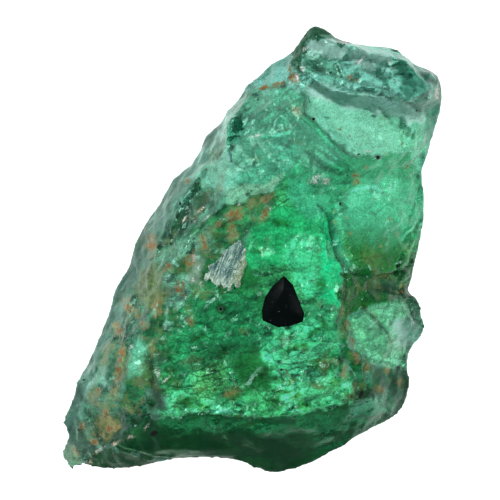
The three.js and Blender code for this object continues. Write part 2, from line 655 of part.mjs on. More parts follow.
// The height and the upward normal of a surface over (x, y), from the points nearest to it.
function surfaceUnder(surface, [x, y], reach) {
  const near = surface.vertices.filter((p) => Math.hypot(p[0] - x, p[1] - y) < reach);
  const middle = [0, 1, 2].map((axis) => near.reduce((sum, p) => sum + p[axis], 0) / near.length);
  const sums = { xx: 0, xy: 0, yy: 0, xz: 0, yz: 0 };
  for (const p of near) {
    const [dx, dy, dz] = p.map((v, axis) => v - middle[axis]);
    sums.xx += dx * dx;
    sums.xy += dx * dy;
    sums.yy += dy * dy;
    sums.xz += dx * dz;
    sums.yz += dy * dz;
  }
  const spread = sums.xx * sums.yy - sums.xy ** 2;
  const slopeX = (sums.xz * sums.yy - sums.yz * sums.xy) / spread;
  const slopeY = (sums.yz * sums.xx - sums.xz * sums.xy) / spread;
  const height = middle[2] + slopeX * (x - middle[0]) + slopeY * (y - middle[1]);
  return { height, normal: new THREE.Vector3(-slopeX, -slopeY, 1).normalize() };
}

// Grows an outline away from its middle by gap.
const grown = (outline, gap) =>
  outline.map(([x, y]) => {
    const share = 1 + gap / Math.hypot(x, y);
    return [x * share, y * share];
  });

// A closed body with an outline at the face, a smaller belly below it and a few ridge points above it.
function blackCrystalShape(gap) {
  const { outline, rise, ridge, depth, bellyShare } = BLACK_CRYSTAL;
  const girdle = grown(outline, gap);
  return new ConvexGeometry([
    ...girdle.map(([x, y]) => new THREE.Vector3(x, y, rise)),
    ...girdle.map(([x, y]) => new THREE.Vector3(x * bellyShare, y * bellyShare, -depth - gap)),
    ...ridge.map(([x, y, z]) => new THREE.Vector3(x, y, z + gap)),
  ]);
}

// The ball that a scar is the hollow of.
function scarBall({ at, facing, radius, bite }) {
  const rows = THREE.MathUtils.clamp(Math.round(radius / SCAR_STEP), SCAR_DETAIL.least, SCAR_DETAIL.most);
  const out = new THREE.Vector3(...facing).setLength(radius - bite);
  return new THREE.IcosahedronGeometry(radius, rows).translate(at[0] + out.x, at[1] + out.y, at[2] + out.z);
}

function micaShape(gap) {
  const outline = grown(MICA.outline, gap).map(([x, y]) => new THREE.Vector2(x, y));
  const depth = MICA.thickness + 2 * gap;
  const sheet = new THREE.ExtrudeGeometry(new THREE.Shape(outline), { depth, bevelEnabled: false });
  return sheet.translate(0, 0, -MICA.thickness * MICA.sunk - gap);
}

// Sets a shape on the front at its place, square to the face there.
function seat(shape, place, front, reach) {
  const { height, normal } = surfaceUnder(front, place, reach);
  const turn = new THREE.Quaternion().setFromUnitVectors(new THREE.Vector3(0, 0, 1), normal);
  return shape.applyQuaternion(turn).translate(place[0], place[1], height);
}

// A copy of a solid with every point moved.
function moved(solid, move) {
  const geometry = geometryOf(solid);
  const points = geometry.attributes.position;
  for (let i = 0; i < points.count; i++) {
    points.setXYZ(i, ...move([points.getX(i), points.getY(i), points.getZ(i)]));
  }
  return solidOf(geometry);
}

const cut = (solid, hollows) => hollows.reduce((left, hollow) => left.subtract(solidOf(hollow)), solid);

const front = { ...frontSurface(), upwards: true };
const back = { ...backSurface(), upwards: false };
const broken = cut(solidOf(triangleMesh([front, back])), Object.values(SCARS).map(scarBall));

const brokenFront = { vertices: front.vertices.map(swell) };
const blackCrystal = (gap) => seat(blackCrystalShape(gap), BLACK_CRYSTAL.at, brokenFront, SEAT_REACH);
const micaFlake = (gap) => seat(micaShape(gap), MICA.at, brokenFront, SEAT_REACH);
const stone = cut(moved(broken, swell), [blackCrystal(POCKET_GAP), micaFlake(POCKET_GAP)]);

function piece(name, geometry, color, roughness) {
  const mesh = new THREE.Mesh(geometry, new THREE.MeshStandardMaterial({ color, roughness, metalness: 0 }));
  mesh.name = name;
  return mesh;
}

const roughEmerald = new THREE.Group();
roughEmerald.name = "rough_emerald";
roughEmerald.add(
  piece("emerald", geometryOf(stone), COLOURS.emerald, 0.2),
  piece("black_crystal", blackCrystal(0), COLOURS.blackCrystal, 0.25),
  piece("mica_flake", micaFlake(0), COLOURS.mica, 0.4),
);

// Moves the middle of the stone's base to the origin.
const box = new THREE.Box3().setFromObject(roughEmerald);
const middle = box.getCenter(new THREE.Vector3());
roughEmerald.position.set(-middle.x, -middle.y, -box.min.z);

export default roughEmerald;
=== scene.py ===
# %% [markdown]
# # A piece of rough emerald
#
# The stone is a broken lump of one see-through crystal, 32 mm long. It lies on its flattest side, and the
# camera looks straight down on it. This lesson gives it the surface that a fracture leaves in crystal, the
# colour that light picks up on its way through, and the two other minerals that grew in its front.

import json
import math

import bpy
import numpy as np
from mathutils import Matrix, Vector, kdtree

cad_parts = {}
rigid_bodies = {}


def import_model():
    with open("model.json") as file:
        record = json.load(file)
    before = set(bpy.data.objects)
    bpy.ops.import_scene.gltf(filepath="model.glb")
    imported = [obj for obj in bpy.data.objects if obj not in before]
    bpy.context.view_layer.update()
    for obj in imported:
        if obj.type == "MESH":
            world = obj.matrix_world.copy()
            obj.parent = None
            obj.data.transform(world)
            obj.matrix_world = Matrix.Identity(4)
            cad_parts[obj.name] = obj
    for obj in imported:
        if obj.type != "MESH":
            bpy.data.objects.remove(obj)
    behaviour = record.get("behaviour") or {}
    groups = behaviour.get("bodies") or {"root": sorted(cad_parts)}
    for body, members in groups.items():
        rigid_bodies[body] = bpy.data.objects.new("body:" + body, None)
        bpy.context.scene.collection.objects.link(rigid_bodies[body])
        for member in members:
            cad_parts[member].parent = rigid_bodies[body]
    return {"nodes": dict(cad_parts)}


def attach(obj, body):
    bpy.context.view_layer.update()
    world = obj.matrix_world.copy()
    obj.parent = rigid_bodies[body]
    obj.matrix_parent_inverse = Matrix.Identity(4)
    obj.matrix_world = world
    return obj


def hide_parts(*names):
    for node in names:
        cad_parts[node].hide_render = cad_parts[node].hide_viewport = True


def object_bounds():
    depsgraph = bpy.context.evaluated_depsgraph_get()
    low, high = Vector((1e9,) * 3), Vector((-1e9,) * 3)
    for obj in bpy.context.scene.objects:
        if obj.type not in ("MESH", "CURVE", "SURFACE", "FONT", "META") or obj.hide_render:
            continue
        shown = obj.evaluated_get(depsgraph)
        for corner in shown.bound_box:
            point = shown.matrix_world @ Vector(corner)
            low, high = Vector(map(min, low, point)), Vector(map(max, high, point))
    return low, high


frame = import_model()
cad_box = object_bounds()
MM = 0.001
print("CAD box in mm:", [[round(v / MM, 2) for v in corner] for corner in cad_box])

# %% [markdown]
# Blender's operators act on whatever is selected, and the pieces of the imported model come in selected. So
# each step starts by choosing one object alone. Modifiers are applied straight away, because the place and
# the surface of a finished piece live in its mesh.


# %% Helpers
def choose(piece):
    """Selects one object alone and makes it the active one."""
    for other in bpy.context.scene.objects:
        other.select_set(other == piece)
    bpy.context.view_layer.objects.active = piece


def apply_modifier(piece, kind, **settings):
    """Adds a modifier with these settings and applies it."""
    choose(piece)
    modifier = piece.modifiers.new(kind.title(), kind)
    for name, value in settings.items():
        setattr(modifier, name, value)
    bpy.ops.object.modifier_apply(modifier=modifier.name)


def copy_of_node(node, name):
    """A copy of a CAD node as an object of its own, with its loose triangles joined."""
    piece = bpy.data.objects.new(name, frame["nodes"][node].data.copy())
    bpy.context.scene.collection.objects.link(piece)
    choose(piece)
    bpy.ops.object.mode_set(mode="EDIT")
    bpy.ops.mesh.select_all(action="SELECT")
    bpy.ops.mesh.remove_doubles(threshold=0.002 * MM)
    bpy.ops.object.mode_set(mode="OBJECT")
    return piece


def grow(piece, scale, shift=(0, 0, 0)):
    """Makes the piece larger about its middle, and then moves it."""
    middle = Vector(points_of(piece).mean(axis=0) * MM)
    choose(piece)
    bpy.ops.object.mode_set(mode="EDIT")
    bpy.ops.mesh.select_all(action="SELECT")
    bpy.ops.transform.resize(value=scale, center_override=middle)
    bpy.ops.transform.translate(value=shift)
    bpy.ops.object.mode_set(mode="OBJECT")


def points_of(piece):
    """The piece's points as an array, a row to a point, in millimetres."""
    found = np.empty(len(piece.data.vertices) * 3, np.float32)
    piece.data.vertices.foreach_get("co", found)
    return found.reshape(-1, 3) / MM


def normals_of(piece):
    """The direction that the surface faces at each point."""
    found = np.empty(len(piece.data.vertices) * 3, np.float32)
    piece.data.vertex_normals.foreach_get("vector", found)
    return found.reshape(-1, 3)


def place_points(piece, places):
    """Puts the piece's points where the array says, in millimetres."""
    piece.data.vertices.foreach_set("co", (places * MM).astype(np.float32).ravel())
    piece.data.update()


def smooth_step(low, high, value):
    """Rises smoothly from 0 at low to 1 at high."""
    share = np.clip((value - low) / (high - low), 0, 1)
    return share * share * (3 - 2 * share)


def waver(places, size, seed):
    """A smooth random value from about -1 to 1 at each place, which changes over about this many mm."""
    dice = np.random.default_rng(seed)
    waves = dice.normal(size=(28, 3))
    waves *= (2 * math.pi / size * dice.uniform(0.5, 1.5, 28) / np.linalg.norm(waves, axis=1))[:, None]
    return np.sin(places @ waves.T + dice.uniform(0, 2 * math.pi, 28)).sum(axis=1) / 7.5


def inside(spots, outline):
    """Which of the spots, seen from above, lie inside the outline."""
    found = np.zeros(len(spots), bool)
    for (x1, y1), (x2, y2) in zip(outline, outline[1:] + outline[:1]):
        if y1 == y2:
            continue
        between = (spots[:, 1] > min(y1, y2)) & (spots[:, 1] <= max(y1, y2))
        crossing = x1 + (spots[:, 1] - y1) * (x2 - x1) / (y2 - y1)
        found ^= between & (spots[:, 0] < crossing)
    return found


def distance_to(spots, line):
    """How far each spot, seen from above, is from a line through these places."""
    nearest = np.full(len(spots), np.inf)
    for start, end in zip(np.array(line[:-1], float), np.array(line[1:], float)):
        way = end - start
        share = np.clip((spots - start) @ way / (way @ way), 0, 1)
        nearest = np.minimum(nearest, np.linalg.norm(spots - start - share[:, None] * way, axis=1))
    return nearest


def depth_in(spots, outline):
    """How deep inside the outline each spot is, and below zero outside it."""
    edge = distance_to(spots, outline + outline[:1])
    return np.where(inside(spots, outline), edge, -edge)


# %% [markdown]
# A material is a net of nodes. Three small classes keep it readable. A finish makes the nodes, a node's
# outputs are found by name, and a shade is a value from such an output, so that sums on values can be
# written as sums in Python.


# %% A way to write materials
class Shade:
    """One value that flows through a material's nodes."""

    def __init__(self, finish, socket):
        self.finish = finish
        self.socket = socket

    def sum(self, operation, first, second):
        return self.finish.node("Math", dict(operation=operation), {0: first, 1: second})["Value"]

    def __add__(self, other):
        return self.sum("ADD", self, other)

    def __radd__(self, other):
        return self.sum("ADD", other, self)

    def __sub__(self, other):
        return self.sum("SUBTRACT", self, other)

    def __rsub__(self, other):
        return self.sum("SUBTRACT", other, self)

    def __mul__(self, other):
        return self.sum("MULTIPLY", self, other)

    def __rmul__(self, other):
        return self.sum("MULTIPLY", other, self)

    def __or__(self, other):
        """The greater of two masks."""
        return self.sum("MAXIMUM", self, other)


class Node:
    """A node whose outputs are found by name."""

    def __init__(self, finish, node):
        self.finish = finish
        self.made = node

    def __getitem__(self, name):
        return Shade(self.finish, self.made.outputs[name])

    def share(self, name):
        """The red of a colour output, as one random value for each cell."""
        return self.finish.node("SeparateColor", None, {"Color": self[name]})["Red"]


class Finish:
    """A material, and the pencil that draws its nodes."""

    def __init__(self, name):
        self.material = bpy.data.materials.new(name)
        self.material.use_nodes = True
        self.tree = self.material.node_tree
        self.surface = self.tree.nodes["Principled BSDF"]
        self.output = self.tree.nodes["Material Output"]

    def put_on(self, piece):
        """Gives the piece this material alone."""
        piece.data.materials.clear()
        piece.data.materials.append(self.material)

    def fill(self, node, values):
        """Links what flows through the nodes, and sets the rest on the node's own sockets."""
        for key, value in values.items():
            if isinstance(value, Shade):
                self.tree.links.new(value.socket, node.inputs[key])
            else:
                node.inputs[key].default_value = value

    def node(self, kind, settings=None, values=None):
        """A node of this kind. Its settings are set first, then its values and links."""
        node = self.tree.nodes.new("ShaderNode" + kind)
        for key, value in (settings or {}).items():
            setattr(node, key, value)
        self.fill(node, values or {})
        return Node(self, node)

    def place(self):
        """Where a point is in its piece's own frame, in metres."""
        return self.node("TexCoord")["Object"]

    def stored(self, name, output="Fac"):
        """What the mesh keeps under this name."""
        return self.node("Attribute", dict(attribute_name=name))[output]

    def colour(self, red, green, blue):
        return self.node("CombineColor", None, {"Red": red, "Green": green, "Blue": blue})["Color"]

    def stored_colour(self, name):
        return self.colour(*(self.stored(name + "_" + channel) for channel in ("red", "green", "blue")))

    def ramp(self, value, low, high, start=0.0, end=1.0):
        """Turns a value between low and high into one between start and end, smoothly."""
        settings = dict(interpolation_type="SMOOTHSTEP")
        limits = {"Value": value, "From Min": low, "From Max": high, "To Min": start, "To Max": end}
        return self.node("MapRange", settings, limits)["Result"]

    def blend(self, share, first, second, mode="MIX"):
        """One colour over another."""
        settings = dict(data_type="RGBA", blend_type=mode, clamp_result=True)
        mixed = self.node("Mix", settings, {0: share, 6: first, 7: second})
        return Shade(self, mixed.made.outputs[2])

    def grains(self, place, size, detail=5.0, roughness=0.6, stretch=0.0):
        """A noise with features of about this size."""
        values = {"Vector": place, "Scale": 1 / size, "Detail": detail, "Roughness": roughness}
        values["Distortion"] = stretch
        return self.node("TexNoise", None, values)["Fac"]

    def cells(self, place, size, feature="F1"):
        """Cells of about this size, each round a point of its own."""
        return self.node("TexVoronoi", dict(feature=feature), {"Vector": place, "Scale": 1 / size})

    def offset(self, place, middle):
        return self.node("VectorMath", dict(operation="SUBTRACT"), {0: place, 1: middle})["Vector"]

    def dot(self, place, way):
        return self.node("VectorMath", dict(operation="DOT_PRODUCT"), {0: place, 1: way})["Value"]

    def warp(self, place, size, reach):
        """The place, pushed about by a noise of this size."""
        noise = self.node("TexNoise", None, {"Vector": place, "Scale": 1 / size, "Detail": 3.0})
        values = {0: noise["Color"], 1: (reach,) * 3, 2: place}
        return self.node("VectorMath", dict(operation="MULTIPLY_ADD"), values)["Vector"]

    def stretch(self, place, scale, turn):
        """The place, turned about the upright axis by this many degrees and then scaled."""
        upright_turn = (0, 0, math.radians(turn))
        turned = self.node("Mapping", None, {"Vector": place, "Rotation": upright_turn})
        return self.node("Mapping", None, {"Vector": turned["Vector"], "Scale": scale})["Vector"]

    def bump(self, height, strength, distance):
        values = {"Height": height, "Strength": strength, "Distance": distance}
        return self.node("Bump", None, values)["Normal"]


# %% [markdown]
# The camera hangs over the stone and looks straight down, as in the photograph. The frame is 35.7 mm
# across. A long lens keeps the tall middle from hiding the low edges.

# %% Camera
FRAME_WIDTH = 35.7 * MM
LENS = 350
SENSOR = 36
STONE_MIDDLE = 8 * MM
SIDE_SHIFT = 0.07 * MM
LIGHT_BOUNCES = 16
camera_data = bpy.data.cameras.new("camera")
camera_data.sensor_width = SENSOR
camera_data.lens = LENS
camera = bpy.data.objects.new("camera", camera_data)
camera.location = (SIDE_SHIFT, 0, LENS * FRAME_WIDTH / SENSOR + STONE_MIDDLE)
bpy.context.scene.collection.objects.link(camera)
bpy.context.scene.camera = camera
bpy.context.scene.view_settings.view_transform = "Standard"
bpy.context.scene.cycles.max_bounces = LIGHT_BOUNCES
bpy.context.scene.cycles.transmission_bounces = LIGHT_BOUNCES
print("camera height:", round(camera.location.z, 4), "m")

# %% [markdown]
# A see-through stone shows what is behind it. On a dark table it would look black, so the floor is a
# pale sheet that is lit from below around the stone, as gem photographers use, and fades to a plain pale
# grey further off. A low ring of pale cloth stands around it, like a light tent that is open at the top.
# Above the stone it is dim, which keeps grey reflections off its faces. Two small lamps light what is dull
# on it and put tiny glints on its broken edges.

# %% Floor
FLOOR_SIZE = 1.2
FLOOR_LEVEL = -0.02 * MM
NEAR_GLOW = 1.15
FAR_GLOW = 0.3
LIT_REACH = 27 * MM
DARK_REACH = 60 * MM
choose(None)
bpy.ops.mesh.primitive_plane_add(size=FLOOR_SIZE, location=(0, 0, FLOOR_LEVEL))
floor = bpy.context.object
floor.name = "floor"
sheet = Finish("floor")
from_stone = sheet.node("VectorMath", dict(operation="LENGTH"), {0: sheet.place()})["Value"]
sheet.fill(sheet.surface, {
    "Base Color": (0.4, 0.4, 0.4, 1),
    "Roughness": 0.8,
    "Emission Color": sheet.ramp(from_stone, LIT_REACH, DARK_REACH, 1.0, FAR_GLOW / NEAR_GLOW),
    "Emission Strength": NEAR_GLOW,
})
sheet.put_on(floor)

# %% Tent, room and lamps
TENT_RADIUS = 0.5
TENT_HEIGHT = 0.3
choose(None)
bpy.ops.mesh.primitive_cylinder_add(
    vertices=96, radius=TENT_RADIUS, depth=TENT_HEIGHT, end_fill_type="NOTHING",
    location=(0, 0, TENT_HEIGHT / 2 + FLOOR_LEVEL),
)
tent = bpy.context.object
tent.name = "tent"
bpy.ops.object.shade_smooth()
cloth = Finish("tent cloth")
cloth.fill(cloth.surface, {
    "Base Color": (0.5, 0.5, 0.5, 1),
    "Roughness": 1.0,
    "Emission Color": (0.95, 0.98, 1, 1),
    "Emission Strength": 0.12,
})
cloth.put_on(tent)

world = bpy.data.worlds.new("room")
bpy.context.scene.world = world
world.use_nodes = True
backdrop = world.node_tree.nodes["Background"]
backdrop.inputs["Color"].default_value = (0.9, 0.95, 1, 1)
backdrop.inputs["Strength"].default_value = 0.1

for name, place, size, watts in [
    ("window light", (-0.27, 0.22, 0.3), 0.16, 1.5),
    ("side light", (0.3, 0.02, 0.22), 0.1, 0.35),
]:
    light_data = bpy.data.lights.new(name, "AREA")
    light_data.size = size
    light_data.energy = watts
    light = bpy.data.objects.new(name, light_data)
    light.location = place
    light.rotation_euler = (-Vector(place)).to_track_quat("-Z", "Y").to_euler()
    bpy.context.scene.collection.objects.link(light)
    print(name, watts, "W")

# %% [markdown]
# A crystal lump breaks along faces. Each face has its own colour and its own grain, because the light
# behind it runs through more or less crystal and through other cracks, so a face's tint holds painted light
# and shade as well as the stone's own colour. The outlines below name those faces as they are seen from
# above, in millimetres. Each has the share of red, green and blue light that its skin lets through, how
# rough its grain is, how frosted its skin is, and how much whitish haze and painted glow lies on it.

# %% Faces of the stone
FACES = {}


def face(name, tint, outline, grain=0.3, frost=0.3, haze_and_glow=0.0, soft=0.5):
    """Notes a face of the stone. Soft is how wide its edge blends into the next, in millimetres."""
    FACES[name] = dict(tint=tint, outline=outline, grain=grain, frost=frost, haze_and_glow=haze_and_glow, soft=soft)


face("left rim", (0.09, 0.27, 0.21), frost=0.42, haze_and_glow=0.1, soft=0.7, outline=[
    (-1.2, 11.3), (-1.5, 7.9), (-2.6, 7.1), (-4.2, 4.3), (-6.4, 1.0), (-8.4, -2.9), (-9.9, -6.1),
    (-11.2, -8.7), (-12.2, -12.5), (-13.1, -15.7), (-14.9, -16.4), (-14.9, -9.3), (-11.4, -3.6), (-7.1, 3.6),
    (-3.5, 8.6),
])
face("left slope", (0.07, 0.22, 0.13), grain=0.7, frost=0.28, haze_and_glow=0.03, outline=[
    (-1.5, 7.5), (-1.9, 3.6), (-4.2, 1.7), (-6.0, -2.3), (-7.8, -6.6), (-9.1, -10.1), (-10.1, -13.6),
    (-12.4, -15.7), (-13.5, -15.4), (-12.2, -12.5), (-11.2, -8.7), (-9.9, -6.1), (-8.4, -2.9), (-6.4, 1.0),
    (-4.2, 4.3), (-2.6, 7.1),
])
face("rusty shelf", (0.02, 0.18, 0.06), grain=0.6, frost=0.32, haze_and_glow=0.02, soft=0.4, outline=[
    (-1.7, 3.2), (2.6, 4.9), (0.9, 2.5), (-0.3, 0.7), (-0.6, -2.9), (-3.5, -3.6), (-5.5, -5.7), (-6.4, -9.3),
    (-8.1, -11.9), (-10.3, -13.9), (-9.1, -10.1), (-7.8, -6.6), (-6.0, -2.3), (-4.2, 1.7),
])
face("lobe", (0.15, 0.5, 0.34), grain=0.5, frost=0.28, haze_and_glow=0.05, soft=0.15, outline=[
    (-1.8, 10.7), (-0.6, 11.7), (2.2, 11.8), (4.2, 11.3), (4.0, 9.9), (3.9, 7.1), (2.5, 5.1), (0.9, 4.6),
    (-1.8, 4.7),
])
face("mint facet", (0.4, 0.6, 0.43), frost=0.2, haze_and_glow=0.1, soft=0.15, outline=[
    (-1.9, 4.7), (0.9, 4.6), (2.5, 5.3), (1.6, 4.3), (-1.6, 3.0),
])
face("shoulder", (0.38, 1.0, 0.93), grain=0.4, haze_and_glow=0.15, soft=0.2, outline=[
    (-0.9, 11.1), (0.5, 13.6), (3.1, 14.7), (3.7, 13.4), (3.6, 11.4), (1.9, 11.7), (0.1, 11.3),
])
face("pocket", (0.02, 0.16, 0.08), grain=0.2, frost=0.22, haze_and_glow=0.02, soft=0.4, outline=[
    (-5.6, 0.8), (-5.5, 2.0), (-4.9, 3.0), (-4.2, 3.1), (-4.2, 2.0), (-4.7, 0.9),
])
face("crown", (0.6, 0.94, 0.87), grain=0.1, frost=0.26, haze_and_glow=0.03, soft=0.12, outline=[
    (3.4, 11.2), (2.9, 13.6), (3.6, 16.4), (5.8, 16.4), (10.8, 15.0), (14.0, 12.9), (13.6, 11.3),
    (12.8, 9.7), (11.6, 10.4), (10.2, 10.8), (8.8, 10.9), (6.9, 11.2), (5.4, 11.8),
])
face("crown window", (1.0, 1.0, 1.0), grain=0.1, frost=0.1, haze_and_glow=0.48, soft=0.25, outline=[
    (3.9, 14.1), (4.1, 14.9), (5.2, 15.4), (6.6, 15.1), (7.2, 14.3), (6.4, 13.6), (5.4, 13.8), (4.6, 13.8),
])
face("crown side", (0.18, 0.5, 0.41), grain=0.1, haze_and_glow=0.02, soft=1.0, outline=[
    (10.2, 13.9), (11.9, 13.6), (13.4, 12.9), (13.5, 12.0), (12.9, 10.9), (11.2, 10.8), (10.2, 12.2),
])
face("crown peak", (0.08, 0.37, 0.27), grain=0.2, frost=0.08, soft=0.2, outline=[
    (3.0, 13.2), (3.0, 14.6), (4.2, 16.4), (5.8, 16.0), (7.4, 14.7), (6.6, 14.5), (5.4, 15.1), (4.3, 14.9),
    (3.8, 13.9), (3.8, 12.8),
])
face("upper scar", (0.5, 0.85, 0.66), grain=0.1, frost=0.26, haze_and_glow=0.05, soft=0.1, outline=[
    (4.0, 11.9), (5.2, 11.8), (6.9, 11.1), (8.8, 10.8), (10.2, 10.5), (11.4, 9.8), (12.0, 7.6), (11.4, 6.9),
    (9.4, 6.6), (7.6, 6.6), (5.8, 7.9), (4.0, 9.6),
])
face("right rim", (0.05, 0.39, 0.25), grain=0.15, frost=0.38, haze_and_glow=0.1, outline=[
    (11.6, 10.0), (12.9, 10.7), (14.0, 12.9), (14.4, 10.7), (14.0, 7.1), (12.9, 4.3), (12.5, 4.9),
    (11.6, 6.4), (11.6, 8.2),
])
face("beside the scar", (0.34, 0.79, 0.55), grain=0.15, haze_and_glow=0.05, soft=1.4, outline=[
    (9.6, 10.2), (11.4, 10.3), (12.4, 9.2), (12.8, 7.0), (12.2, 5.2), (10.6, 6.6),
])
face("shoulder band", (0.08, 0.45, 0.22), grain=0.2, frost=0.15, haze_and_glow=0.08, soft=0.2, outline=[
    (6.9, 6.7), (9.4, 6.6), (11.4, 7.1), (12.6, 4.9), (12.8, 3.2), (11.6, 4.1), (10.4, 4.9), (7.4, 4.4),
])
face("saddle", (0.07, 0.45, 0.23), grain=0.45, frost=0.26, haze_and_glow=0.05, soft=0.15, outline=[
    (3.9, 9.7), (5.8, 7.9), (7.6, 6.4), (7.4, 4.4), (6.1, 3.2), (4.9, 3.1), (3.5, 3.6), (1.9, 4.3),
    (2.6, 5.3), (3.9, 7.1),
])
face("saddle top", (0.17, 0.43, 0.3), frost=0.28, haze_and_glow=0.05, soft=0.8, outline=[
    (2.8, 8.4), (3.9, 9.2), (5.4, 8.0), (6.6, 6.7), (5.2, 5.8), (3.6, 6.6),
])
face("disc top", (0.16, 0.61, 0.37), grain=0.15, frost=0.26, haze_and_glow=0.02, soft=0.2, outline=[
    (6.0, 2.7), (6.2, 3.4), (6.9, 3.9), (7.8, 4.4), (9.0, 5.1), (10.2, 5.1), (11.5, 4.6), (12.7, 4.1),
    (13.0, 2.5), (12.8, 1.1), (12.4, -0.1), (11.8, -0.9), (10.1, -1.4), (8.8, -1.4), (7.6, -1.1),
    (6.9, -0.1), (6.4, 0.9), (6.0, 1.8),
])
face("disc foot", (0.04, 0.2, 0.05), grain=0.2, frost=0.15, soft=3.0, outline=[
    (4.5, 1.4), (14.5, 0.6), (14.5, -4.0), (4.5, -4.0),
])
face("bright wall", (0.03, 0.73, 0.33), frost=0.22, soft=0.25, outline=[
    (4.9, 3.2), (6.1, 3.2), (6.0, 0.7), (7.1, -1.8), (6.8, -4.4), (4.9, -3.6),
])
face("disc crease", (0.08, 0.46, 0.26), grain=0.2, frost=0.15, soft=0.3, outline=[
    (5.9, 2.4), (6.3, 1.1), (6.8, -0.1), (7.4, -1.1), (7.3, -1.9), (6.6, -2.6), (6.5, -1.2), (6.1, 0.4),
    (5.8, 1.4),
])
face("notch", (0.01, 0.19, 0.03), grain=0.4, frost=0.12, soft=0.3, outline=[
    (6.6, -1.7), (7.4, -1.3), (8.8, -1.5), (10.2, -1.4), (12.4, -0.9), (12.2, -2.9), (11.6, -3.7),
    (9.4, -3.9), (6.8, -4.7), (6.3, -3.4),
])
face("knob", (0.2, 0.57, 0.33), grain=0.5, frost=0.25, haze_and_glow=0.06, soft=0.2, outline=[
    (6.9, -4.9), (8.8, -3.9), (11.6, -3.6), (12.9, -5.4), (12.2, -7.6), (11.5, -8.8), (9.7, -8.4),
    (8.4, -8.0), (7.6, -7.3), (7.2, -6.4),
])
face("rusty strip", (0.01, 0.21, 0.05), grain=0.6, frost=0.15, haze_and_glow=0.02, soft=0.25, outline=[
    (6.2, -4.0), (7.0, -4.6), (7.1, -6.6), (7.9, -7.4), (8.5, -8.2), (8.7, -10.7), (7.6, -10.7), (6.6, -7.3),
])
face("low chip", (0.01, 0.12, 0.06), grain=0.15, frost=0.35, haze_and_glow=0.02, soft=0.2, outline=[
    (8.4, -8.0), (9.7, -8.4), (11.9, -8.6), (12.0, -10.9), (10.6, -12.4), (8.7, -11.7),
])
face("central face", (0.09, 0.45, 0.18), grain=0.9, frost=0.28, soft=0.2, outline=[
    (0.9, 2.5), (2.6, 4.9), (3.6, 3.6), (4.9, 3.1), (4.9, -3.6), (6.5, -4.3), (6.5, -7.3), (7.4, -10.7),
    (6.9, -11.0), (2.9, -11.9), (-0.2, -12.0), (-3.5, -11.6), (-5.6, -12.0), (-6.4, -9.3), (-5.5, -5.7),
    (-3.5, -3.6), (-0.6, -2.9), (-0.3, 0.7),
])
face("central bright", (0.05, 0.61, 0.24), grain=0.45, outline=[
    (0.9, 2.5), (3.6, 3.4), (4.9, 3.1), (4.9, -0.9), (2.9, -0.9), (0.9, -1.3), (-0.3, -1.4), (-0.3, 0.7),
])
face("beside the crystal", (0.1, 0.5, 0.24), grain=0.6, frost=0.24, outline=[
    (2.8, -0.9), (4.9, -0.9), (4.9, -3.6), (6.5, -4.4), (6.5, -6.8), (4.4, -6.4), (3.9, -3.6),
])
face("deep patch", (0.03, 0.22, 0.06), grain=0.4, frost=0.34, soft=0.8, outline=[
    (-0.5, -0.8), (0.7, -1.8), (1.2, -4.8), (2.0, -7.0), (1.4, -9.8), (-0.4, -10.6), (-1.6, -7.6),
    (-1.0, -4.4), (-1.2, -2.2),
])
face("low bright", (0.17, 0.74, 0.41), grain=1.0, frost=0.2, soft=0.4, outline=[
    (2.2, -6.1), (6.5, -6.8), (7.2, -10.7), (2.9, -11.7), (1.8, -9.3),
])
face("low left", (0.07, 0.42, 0.19), grain=1.0, frost=0.2, soft=0.4, outline=[
    (-5.6, -11.7), (-5.5, -10.4), (-4.6, -7.3), (-1.7, -7.5), (0.1, -10.9), (-0.6, -11.6), (-3.5, -11.4),
])
face("mint by the crystal", (0.15, 0.88, 0.44), grain=0.6, soft=0.8, outline=[
    (2.6, 0.9), (4.2, 1.1), (4.9, 0.4), (5.0, -0.9), (5.1, -2.9), (4.7, -3.5), (4.0, -3.3), (3.4, -2.1),
    (2.8, -0.9),
])
face("mint below it", (0.17, 0.98, 0.47), grain=1.0, frost=0.34, outline=[
    (0.9, -5.1), (2.6, -4.4), (4.4, -4.9), (5.4, -6.1), (4.9, -7.3), (3.6, -6.8), (2.6, -7.5), (2.9, -8.7),
    (1.6, -8.7), (0.9, -7.3), (0.1, -6.4),
])
face("low right mint", (0.23, 1.0, 0.49), grain=0.75, outline=[
    (2.9, -9.8), (4.5, -9.0), (6.5, -9.0), (7.6, -9.6), (7.8, -10.9), (6.3, -12.0), (4.0, -12.0),
    (2.6, -11.1),
])
face("low mint", (0.21, 1.0, 0.47), grain=0.75, frost=0.25, soft=0.6, outline=[
    (-6.3, -12.1), (-6.0, -10.4), (-4.8, -9.9), (-3.2, -10.4), (-2.0, -11.0), (0.1, -11.7), (-3.4, -12.0),
])
face("left shade", (0.04, 0.32, 0.13), grain=0.7, soft=1.6, outline=[
    (-4.4, -2.6), (-1.2, -2.9), (0.6, -3.2), (1.0, -6.6), (-1.6, -7.6), (-4.4, -8.2), (-6.1, -8.6),
    (-6.4, -6.6), (-5.4, -5.0),
])
face("bottom band", (0.02, 0.12, 0.03), grain=0.15, frost=0.08, soft=0.2, outline=[
    (-10.1, -14.0), (-8.1, -12.0), (-5.6, -12.0), (-3.5, -11.6), (-0.2, -12.0), (2.9, -11.9), (6.9, -11.0),
    (8.6, -10.7), (10.6, -12.4), (6.9, -14.6), (2.2, -16.4), (-0.6, -15.1), (-6.4, -15.1), (-9.2, -14.4),
])
face("band heart", (0.02, 0.08, 0.03), grain=0.1, frost=0.08, soft=0.9, outline=[
    (0.9, -12.3), (5.8, -12.0), (6.2, -13.6), (2.2, -15.9), (0.9, -14.6),
])
face("notch heart", (0.06, 0.17, 0.09), grain=0.4, frost=0.1, soft=0.8, outline=[
    (8.2, -2.2), (10.6, -1.9), (11.2, -2.6), (10.4, -3.4), (8.8, -3.3),
])
face("knob's pale side", (0.8, 1.0, 0.92), grain=0.2, frost=0.35, haze_and_glow=0.26, soft=1.2, outline=[
    (10.4, -5.3), (11.2, -4.8), (12.4, -5.4), (12.2, -7.0), (10.6, -6.8),
])
